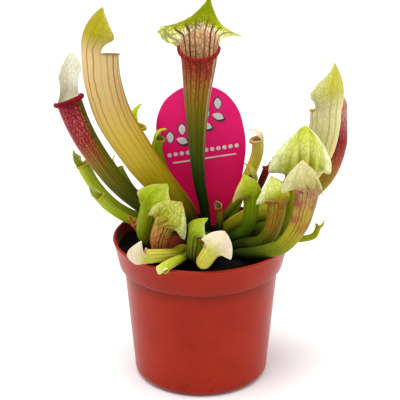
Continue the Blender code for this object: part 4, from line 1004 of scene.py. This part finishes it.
grow_leaf(
    "pitcher_right_red", "large", rose_skin, "leaf_crimson", root=(18.5, 21.5), faces=160, mouth=5.4,
    petiole=2.0, swell=0.6, slant=5, lip=0.6,
    path=[
        (29, 23.5, 78.5), (41, 24.5, 80.5), (54, 26, 86), (65, 26.5, 98), (70, 26.5, 113), (70, 27, 125),
        (69.5, 27, 133),
    ],
    hood=dict(length=9, half_width=5, bend=(0, 30), cup=70, droop=1),
)

# Right-hand clump
# Lower leaves of the same living tissue, which lean out over the rim and turn their backs to the
# front of the pot, so their creased hoods and the veins down their tubes show. Small ones fill in.

# Skins: lime with a pale edge, olive with pink stripes, dark green with orange-brown lines, bright
# green, green with an orange tip, yellow with a cream blush, and maroon.
lime_skin = leaf_skin(
    "lime_pitcher_tissue",
    tube=[(0.0, "#1c2c06"), (1.0, "#b0b028"), (0.3, "#4c5c08"), (0.6, "#808a10"), (0.8, "#a0a41c")],
    hood=[(0.0, "#a8a81c"), (1.0, "#b2b828"), (0.3, "#bec044"), (0.6, "#d2d474"), (0.85, "#c6cc50")],
    throat="#6a4018", lip="#c08838", vein="#5c6808", net=(0.5, 1.0, 0.5), lines=(0.1, 0.9, 0.8), cell=2.0,
    count=8, hood_vein="#748214", hood_net=0.38, edge="#eef0cc", line_width=0.1,
)
striped_skin = leaf_skin(
    "pink_striped_pitcher_tissue",
    tube=[
        (0.0, "#121e06"), (1.0, "#b4a468"), (0.28, "#364808"), (0.46, "#6c7808"), (0.62, "#98941c"),
        (0.76, "#a8962c"), (0.88, "#b09844"),
    ],
    hood=[(0.0, "#b08c6c"), (1.0, "#ccba90"), (0.25, "#bcae70"), (0.6, "#c8c480")],
    throat="#7c2424", lip="#b86858", vein="#781430", net=(0.6, 1.0, 0.4), lines=(0.2, 0.7, 1.0), cell=1.8,
    hood_vein="#9a8848", hood_net=0.4, edge="#dce0a8", seam=0.3, faintest=0.4,
    blotch=("#8c2438", 0.6, 0.8),
)
orange_lined_skin = leaf_skin(
    "orange_lined_pitcher_tissue",
    tube=[(0.0, "#0c1806"), (1.0, "#a0902c"), (0.3, "#1e3006"), (0.55, "#485a08"), (0.78, "#868014")],
    hood=[(0.0, "#9a8c14"), (1.0, "#c8cc6c"), (0.3, "#a8a82c"), (0.6, "#ccd070")],
    throat="#6a2814", lip="#b46028", vein="#701c0c", net=(0.5, 1.0, 0.5), lines=(0.1, 0.7, 1.0), cell=1.8,
    count=8, hood_vein="#8a8c24", hood_net=0.4, edge="#e6e8b8", seam=0.3,
    flank=("#7e8006", 0.1, 0.6, 0.7), faintest=0.35, blotch=("#8c4c20", 0.55, 0.8),
)
bright_skin = leaf_skin(
    "bright_green_pitcher_tissue",
    tube=[(0.0, "#0a1206"), (1.0, "#84960a"), (0.3, "#1e3408"), (0.6, "#4e6808"), (0.8, "#728604")],
    hood=[(0.0, "#88980a"), (1.0, "#a8b438"), (0.5, "#9aa41c")],
    throat="#5c3414", lip="#b08428", vein="#3c5406", net=(0.6, 1.0, 0.3), lines=(0.1, 0.9, 0.7), cell=2.0,
    count=6, hood_vein="#74880c", hood_net=0.35, edge="#e4c088", seam=0.3,
)
tipped_skin = leaf_skin(
    "orange_tipped_pitcher_tissue",
    tube=[(0.0, "#283808"), (1.0, "#98a010"), (0.35, "#5c6c06"), (0.7, "#84900a")],
    hood=[(0.0, "#98a81c"), (1.0, "#d88a48"), (0.5, "#a8ac34"), (0.8, "#c09a44")],
    throat="#6c3418", lip="#b07c2c", vein="#74580c", net=(0.8, 1.0, 0.2), lines=(0.15, 0.9, 0.6),
    cell=2.2, count=5, hood_vein="#6c8420", hood_net=0.4, edge="#d8c870",
)
blush_skin = leaf_skin(
    "blushed_pitcher_tissue",
    tube=[(0.0, "#3c4a06"), (1.0, "#e0dc70"), (0.3, "#98a814"), (0.6, "#ccd030"), (0.85, "#dcc850")],
    hood=[(0.0, "#d8cc80"), (1.0, "#e8d4c0"), (0.4, "#e4d8b8")],
    throat="#7c3c30", lip="#d0a878", vein="#b08430", net=(0.8, 1.0, 0.2), lines=(0.2, 0.9, 0.8), cell=2.0,
    count=6, hood_net=0.2, edge="#f0e4d0", seam=0.3,
)
maroon_skin = leaf_skin(
    "maroon_pitcher_tissue",
    tube=[(0.0, "#200804"), (1.0, "#8c3024"), (0.4, "#581410"), (0.8, "#782018")],
    hood=[(0.0, "#8e3a28"), (1.0, "#c07a48")],
    throat="#4a0c0c", lip="#8c2c20", vein="#3c0808", net=(0.3, 0.8, 0.5), lines=(0.1, 0.6, 0.6), cell=2.0,
    count=5,
)
grow_leaf(
    "pitcher_right_lobed", "large", lime_skin, "leaf_lime", root=(18, 7.5), faces=102, mouth=7.5,
    petiole=2.0, swell=0.8, back=4, folds=2.8,
    path=[(30, 2, 76.8), (40, -0.5, 81.2), (45.5, -1.5, 90), (48.5, -2.5, 101), (49.5, -3, 110)],
    hood=dict(
        length=25, half_width=17, bend=(-12, 45), broad=0.45, neck=0.0, cup=30, pointed=0.35, wave=1.6,
        waves=1.4, droop=5, roll=0.4, fan=8, tip=2, uneven=-0.1, lobes=4.5, corner=0.55,
    ),
)
grow_leaf(
    "pitcher_right_front", "medium", striped_skin, "leaf_cream", root=(17.5, -14.5), faces=118, mouth=5.8,
    petiole=2.2, keel=0.6, folds=2.2,
    path=[
        (24.5, -21, 74.8), (32, -25, 77.6), (40.5, -27, 81.5), (47.5, -27, 91), (50.5, -26, 100),
        (52.2, -24.5, 108.4),
    ],
    hood=dict(
        length=15, half_width=13.5, bend=(-10, 55), broad=0.38, neck=0.0, cup=55, pointed=0.1, wave=0.6,
        droop=2.5, fan=2, tip=2.5, sway=-6, uneven=-0.1, lobes=5, corner=0.55,
    ),
)
grow_leaf(
    "pitcher_right_mid", "medium", orange_lined_skin, "leaf_lime", root=(15.5, -6.5), faces=133,
    mouth=4.8, petiole=2.2, swell=1.0, keel=0.6, folds=1.3,
    path=[(22, -12, 75.6), (29, -16, 78), (34.5, -17, 84), (37, -16, 91.5), (38, -14.5, 99.5)],
    hood=dict(
        length=14, half_width=13.5, bend=(0, 70), broad=0.42, neck=0.0, cup=65, pointed=0.1, wave=0.3,
        droop=2.5, fan=2, tip=2, sway=-2, uneven=-0.1, lobes=3, corner=0.55,
    ),
)
grow_leaf(
    "pitcher_right_inner", "medium", bright_skin, "leaf_lime", root=(11, 0.5), faces=133, mouth=4.2,
    petiole=2.0, swell=0.8, folds=1.1,
    path=[(17, -2.5, 75.5), (22, -4, 79), (24.6, -4, 85.5), (25.3, -3, 91.6), (25.5, -2, 97)],
    hood=dict(
        length=12.5, half_width=12, bend=(0, 70), broad=0.42, neck=0.0, cup=65, pointed=0.1, wave=0.3,
        droop=2.5, fan=2, tip=2, sway=-2, uneven=-0.1, lobes=4, corner=0.55,
    ),
)
grow_leaf(
    "pitcher_right_small", "small", tipped_skin, "leaf_lime", root=(9, 22.3), faces=180, mouth=2.5,
    slant=10,
    path=[(14.5, 20, 80), (22, 18.5, 91), (27, 18.5, 99.5)],
    hood=dict(length=10.5, half_width=4.6, bend=(32, 95), cup=50, wave=0.2, droop=0.5, tip=2),
)
grow_leaf(
    "pitcher_small_hooked", "small", tipped_skin, "leaf_lime", root=(21, 0.5), faces=180, mouth=1.7,
    slant=0,
    path=[(31, -7, 76), (42, -11, 78), (51, -11.5, 78.3), (57, -11.5, 80.2), (59, -11.5, 85)],
    hood=dict(length=4.5, half_width=2.2, bend=(0, 40), cup=60, wave=0.1, droop=0.5, tip=1),
)
grow_leaf(
    "pitcher_back_right", "medium", blush_skin, "leaf_yellow", root=(16.5, 27.5), faces=185, mouth=3.1,
    swell=0.8,
    path=[(20.8, 29.6, 86), (26.3, 29, 99), (29.3, 28.4, 109), (29.4, 28, 117)],
    hood=dict(length=10, half_width=4.5, bend=(10, 100), cup=50, wave=0.2, droop=1, tip=1),
)
grow_leaf(
    "pitcher_back_maroon", "small", maroon_skin, "leaf_maroon", root=(23.5, 30), faces=200, mouth=2.1,
    slant=5,
    path=[(26, 30.5, 80), (28.5, 30.5, 86), (31.5, 31, 92), (34.5, 31, 100)],
    hood=dict(length=6, half_width=2.6, bend=(0, 20), cup=60, wave=0.1, droop=1, tip=1),
)
grow_leaf(
    "pitcher_crown_small", "small", orange_lined_skin, "leaf_green", root=(9.5, 13.7), faces=250,
    mouth=2.0, slant=10,
    path=[(9.8, 15.2, 78), (9, 16.5, 83.5)],
    hood=dict(length=5, half_width=2.6, bend=(10, 70), cup=55, wave=0.1, droop=0.5, tip=1),
)

# Left-hand and front clump
# Short wide leaves over the left of the rim and at the front, some olive and striped, some cream,
# and the slender young leaves behind them, with narrow tubes and small hoods.

# Skins: moss green, rust red in a dark net, cream over green, dark olive with dark lines, young
# yellow-green and slender green.
moss_skin = leaf_skin(
    "moss_green_pitcher_tissue",
    tube=[(0.0, "#121e06"), (1.0, "#84900a"), (0.3, "#3a4c04"), (0.6, "#687606")],
    hood=[(0.0, "#7e8c08"), (1.0, "#9caa38"), (0.35, "#8c9a10"), (0.7, "#98a424")],
    throat="#5c3c14", lip="#b08430", vein="#3c4a04", net=(0.6, 1.0, 0.3), lines=(0.1, 0.9, 0.75),
    cell=2.2, count=6, hood_vein="#74820c", hood_net=0.35, edge="#c8ce80", seam=0.4,
)
netted_skin = leaf_skin(
    "netted_pitcher_tissue",
    tube=[
        (0.0, "#161a06"), (1.0, "#a89434"), (0.26, "#50200e"), (0.42, "#9c3226"), (0.64, "#b44c38"),
        (0.84, "#b07440"),
    ],
    hood=[(0.0, "#98922c"), (1.0, "#c88438"), (0.3, "#9ea22c"), (0.6, "#b0b24c"), (0.9, "#b6b854")],
    throat="#6a2c14", lip="#b87030", vein="#480c08", net=(0.1, 0.45, 0.7), lines=(0.1, 0.6, 1.0),
    cell=1.6, hood_vein="#66641c", hood_net=0.6, edge="#d0d898", seam=0.35, faintest=0.5, long_width=0.22,
)
cream_skin = leaf_skin(
    "cream_pitcher_tissue",
    tube=[(0.0, "#28340a"), (1.0, "#bcb84c"), (0.3, "#7c8008"), (0.6, "#a2a418"), (0.8, "#b8b040")],
    hood=[(0.0, "#c0ba68"), (1.0, "#dcc6ac"), (0.3, "#ccc490"), (0.6, "#d8c8ac")],
    throat="#8c4c38", lip="#cc9878", vein="#84741c", net=(0.6, 1.0, 0.3), lines=(0.15, 0.9, 0.75),
    cell=1.9, count=6, hood_vein="#b49c78", hood_net=0.35, edge="#e4debc", seam=0.3,
)
olive_skin = leaf_skin(
    "olive_pitcher_tissue",
    tube=[(0.0, "#0a1004"), (1.0, "#78821a"), (0.3, "#202a0a"), (0.55, "#383c0e"), (0.8, "#5a6018")],
    hood=[(0.0, "#7e8c10"), (1.0, "#9cae24"), (0.5, "#8c9c1c")],
    throat="#4c2010", lip="#a06420", vein="#1c1a06", net=(0.5, 1.0, 0.3), lines=(0.05, 0.6, 0.95),
    cell=1.9, count=7, hood_vein="#6c780c", hood_net=0.4, edge="#c0cc70", seam=0.4, faintest=0.5,
    long_width=0.22,
)
young_skin = leaf_skin(
    "young_green_pitcher_tissue",
    tube=[(0.0, "#3c4c08"), (1.0, "#b4bc3c"), (0.35, "#7c8c0a"), (0.7, "#98a81c")],
    hood=[(0.0, "#a4b024"), (1.0, "#d4d490"), (0.5, "#bcc450")],
    throat="#6c5418", lip="#b0a030", vein="#6c7c0c", net=(0.8, 1.0, 0.2), lines=(0.15, 0.9, 0.6),
    cell=2.2, count=6, hood_vein="#8c9c2c", hood_net=0.35, edge="#e0e0a0", seam=0.3,
)
slender_skin = leaf_skin(
    "slender_green_pitcher_tissue",
    tube=[(0.0, "#122008"), (1.0, "#98a808"), (0.4, "#3c5406"), (0.75, "#748804")],
    hood=[(0.0, "#a0b010"), (1.0, "#acbc1c"), (0.5, "#a4b408")],
    throat="#5c3c14", lip="#a09820", vein="#34480a", net=(0.9, 1.0, 0.0), lines=(0.1, 0.9, 0.6), count=5,
    hood_vein="#7c8c10", hood_net=0.35, edge="#c8d050",
)
grow_leaf(
    "pitcher_left_front", "medium", moss_skin, "leaf_lime", root=(-12.5, 3), faces=45, mouth=5.0,
    swell=0.8, keel=0.6, slant=10, folds=1.4,
    path=[(-21, -4, 77), (-27, -11, 79), (-28, -14, 86), (-25.5, -14, 96)],
    hood=dict(
        length=16, half_width=14.5, bend=(0, 75), broad=0.45, pointed=0.35, fan=3, tip=3, sway=1,
        uneven=0.1, corner=0.55,
    ),
)
grow_leaf(
    "pitcher_left_netted", "medium", netted_skin, "leaf_lime", root=(-9, -1), faces=50, mouth=5.2,
    swell=0.8, keel=0.6, folds=2.2,
    path=[(-14.5, -13, 77), (-19.5, -23, 78.6), (-20.5, -26.5, 85), (-18, -27, 93)],
    hood=dict(
        length=16.5, half_width=14, bend=(0, 95), broad=0.42, cup=55, pointed=0.15, droop=3, fan=5, tip=3,
        uneven=0.1, lobes=4, corner=0.55,
    ),
)
grow_leaf(
    "pitcher_rim_curled", "medium", cream_skin, "leaf_cream", root=(-8, -8.5), faces=85, faces_up=15,
    mouth=3.6, keel=0.5, slant=10, lip=0.5,
    path=[(-10, -18, 75.8), (-13.3, -28, 77.5), (-20, -34.5, 79.4), (-27, -36.5, 79.8)],
    hood=dict(length=11, half_width=7.5, bend=(0, 70), pointed=0.1, wave=0.2, droop=1, tip=0, uneven=0.4),
)
grow_leaf(
    "pitcher_rim_small", "small", young_skin, "leaf_lime", root=(-3, -9), faces=250, faces_up=-80,
    mouth=2.6, slant=0,
    path=[(-5.5, -17, 74), (-8, -26, 74.8), (-10.8, -35, 77.6), (-15.2, -42.5, 78.6), (-18, -46, 78.2)],
    hood=dict(length=7, half_width=4, bend=(5, 95), cup=50, wave=0.1, droop=1, tip=0),
)
grow_leaf(
    "pitcher_front_olive", "medium", olive_skin, "leaf_olive", root=(0.8, -8.5), faces=30, mouth=4.4,
    swell=0.7, keel=0.6, slant=5,
    path=[(0.2, -17, 75.8), (-1.8, -25, 76.3), (-3.2, -30.5, 78.5), (-3, -31.5, 83), (-2.4, -31, 88)],
    hood=dict(half_width=10.5, bend=(0, 80), cup=50, pointed=0.3, wave=0.2, droop=1.5, tip=3),
)
grow_leaf(
    "pitcher_front_cream", "medium", cream_skin, "leaf_cream", root=(5, -8), faces=80, mouth=4.2,
    petiole=1.6, swell=1.2, slant=10, lip=0.5,
    path=[(5.5, -13, 74.5), (5.8, -20, 75.8), (3.5, -33, 76.8), (1.2, -41.5, 79.2), (5.2, -43, 86)],
    hood=dict(
        length=13, half_width=10, bend=(0, 75), cup=50, pointed=0.15, droop=4, roll=0.5, fan=6, tip=1,
        uneven=0.15,
    ),
)
grow_leaf(
    "pitcher_lower_left", "medium", young_skin, "leaf_lime", root=(-14.5, 15.5), faces=330, mouth=3.5,
    swell=0.8, slant=5, lip=0.5,
    path=[(-24, 16, 76.5), (-36, 17, 79.8), (-46, 18.5, 85.5), (-55, 20.5, 95), (-61, 21, 106)],
    hood=dict(length=8, half_width=4, bend=(0, 30), cup=60, wave=0.2, droop=1, tip=2),
)
grow_leaf(
    "pitcher_lower_left_small", "small", young_skin, "leaf_lime", root=(-14.5, 8.5), faces=330, mouth=2.8,
    slant=5,
    path=[(-25, 6, 77.5), (-38, 4, 83), (-47, 3, 90), (-51.5, 2, 96)],
    hood=dict(length=7, half_width=3.2, bend=(0, 30), cup=60, wave=0.2, droop=1, tip=2),
)
grow_leaf(
    "pitcher_back_left", "medium", slender_skin, "leaf_green", root=(-9, 22.3), faces=20, mouth=4.2,
    slant=10,
    path=[(-18, 24, 83), (-29, 25.5, 97), (-34, 26, 112), (-33.5, 26, 125)],
    hood=dict(half_width=6.5, cup=60, tip=2),
)
grow_leaf(
    "pitcher_behind_tall", "small", slender_skin, "leaf_olive", root=(-3, 23), faces=340, mouth=2.8,
    slant=10,
    path=[(-9, 22.3, 86), (-18, 20.5, 101), (-22.5, 19, 115), (-21.5, 18.5, 121)],
    hood=dict(length=9, half_width=4.2, bend=(10, 85), cup=50, wave=0.2, droop=1, tip=1),
)
grow_leaf(
    "pitcher_left_slender", "small", slender_skin, "leaf_green", root=(-15.5, 19.7), faces=0, mouth=2.5,
    slant=10,
    path=[(-25, 24, 80), (-36, 27, 89), (-43, 28, 101)],
    hood=dict(length=8, half_width=3.5, bend=(0, 60), cup=50, wave=0.2, droop=1, tip=1),
)

# Rear leaves
# Three leaves behind the label, out of the photograph's sight. They are made like the leaves of
# the clumps at its sides, and have the same skins.
grow_leaf(
    "pitcher_rear_left", "medium", lime_skin, "leaf_lime", root=(-6, 28.5), faces=290, mouth=4.6,
    slant=20,
    path=[(-10, 34, 78), (-14, 40.5, 84), (-16, 44.5, 94), (-16, 44.5, 102)],
    hood=dict(length=14, half_width=9, bend=(0, 55), cup=40, wave=0.8, droop=3, tip=2),
)
grow_leaf(
    "pitcher_rear_middle", "medium", striped_skin, "leaf_cream", root=(3, 31), faces=275, mouth=4.4,
    slant=20,
    path=[(2, 37, 78), (0, 43.5, 83.5), (-1, 46.5, 91), (-1, 46, 97)],
    hood=dict(length=13, half_width=8, bend=(0, 60), cup=40, wave=0.7, droop=3, tip=2),
)
grow_leaf(
    "pitcher_rear_right", "medium", bright_skin, "leaf_lime", root=(15.5, 33), faces=255, mouth=4.2,
    slant=20,
    path=[(17, 38, 79), (14.5, 43.5, 84), (13, 46.5, 91), (13, 46, 97)],
    hood=dict(length=11, half_width=7.5, bend=(0, 60), cup=40, wave=0.7, droop=3, tip=2),
)

# Dry sheath
# A papery brown bract, the dead foot of an old leaf, curled round the base of the left-hand leaves.
# It is grown like a small leaf, with a short hood.

# Dead tissue: brown, dry and papery, with no satin gloss.
dry_skin = leaf_skin(
    "dry_bract_tissue",
    tube=[(0.0, "#4a1e0a"), (1.0, "#b4642c"), (0.5, "#94481c")],
    hood=[(0.0, "#b4682c"), (1.0, "#c8843c")],
    throat="#5c2c16", lip="#b0703c", vein="#5c2410", net=(0.9, 1.0, 0.0), lines=(0.0, 0.4, 0.7), cell=2.0,
    count=7, hood_net=0.4, gloss=0.7,
)
grow_leaf(
    "dry_sheath", "small", dry_skin, "dry_bract", root=(-29, 3), faces=300, mouth=1.7, petiole=1.9,
    keel=0.1, slant=10,
    path=[(-31, 0.7, 77), (-34, 0.2, 82)],
    hood=dict(length=4, half_width=1.6, bend=(0, 15), cup=60, wave=0.05, droop=0.3, tip=1),
)

# Studio
# The pot stands on a plain white floor under soft white light from above and both sides, seen from
# the height that the photograph was taken from.
CAMERA_DISTANCE = 900.0
CAMERA_ELEVATION = math.radians(22.3)
CAMERA_TARGET = (-0.5, 0.0, 94.8)
FLOOR_SIZE = 12.0

# Matt white paper, so even that it gives the eye only the pot's shadow.
bm = bmesh.new()
bmesh.ops.create_grid(bm, x_segments=1, y_segments=1, size=FLOOR_SIZE / 2)
floor = sculpted("floor", bm)
floor.data.materials.append(
    mottled(
        "white_paper_floor", 40, 2.0, [(0.3, "#f4f4f4"), (0.7, "#fafafa")],
        {"Roughness": 0.9, "Specular IOR Level": 0.1},
    )
)

sky = bpy.data.worlds.new("soft_white_room")
sky.use_nodes = True
feed(sky.node_tree.nodes["Background"], {"Color": linear("#ffffff"), "Strength": 0.7})
bpy.context.scene.world = sky

# Lights, each at a place in mm with its width and height in mm and its watts.
for name, place, width, height, watts in (
    ("top_light", (-200, -250, 1900), 1500, 1500, 36.0),
    ("left_light", (-700, 100, 220), 300, 800, 1.5),
    ("right_light", (700, 100, 220), 300, 800, 2.2),
):
    lamp = bpy.data.lights.new(name, "AREA")
    lamp.shape = "RECTANGLE"
    lamp.size, lamp.size_y = width * MM, height * MM
    lamp.energy = watts
    light = into_scene(name, lamp)
    light.location = Vector(place) * MM
    aim = Vector(CAMERA_TARGET) * MM - light.location
    light.rotation_euler = aim.to_track_quat("-Z", "Y").to_euler()

lens = bpy.data.cameras.new("camera")
lens.lens = 160.0
lens.sensor_width = 36.0
lens.clip_start = 0.01
camera = into_scene("camera", lens)
forward = Vector((0.0, math.cos(CAMERA_ELEVATION), -math.sin(CAMERA_ELEVATION)))
camera.location = (Vector(CAMERA_TARGET) - forward * CAMERA_DISTANCE) * MM
camera.rotation_euler = forward.to_track_quat("-Z", "Y").to_euler()
bpy.context.scene.camera = camera
bpy.context.scene.view_settings.view_transform = "Standard"
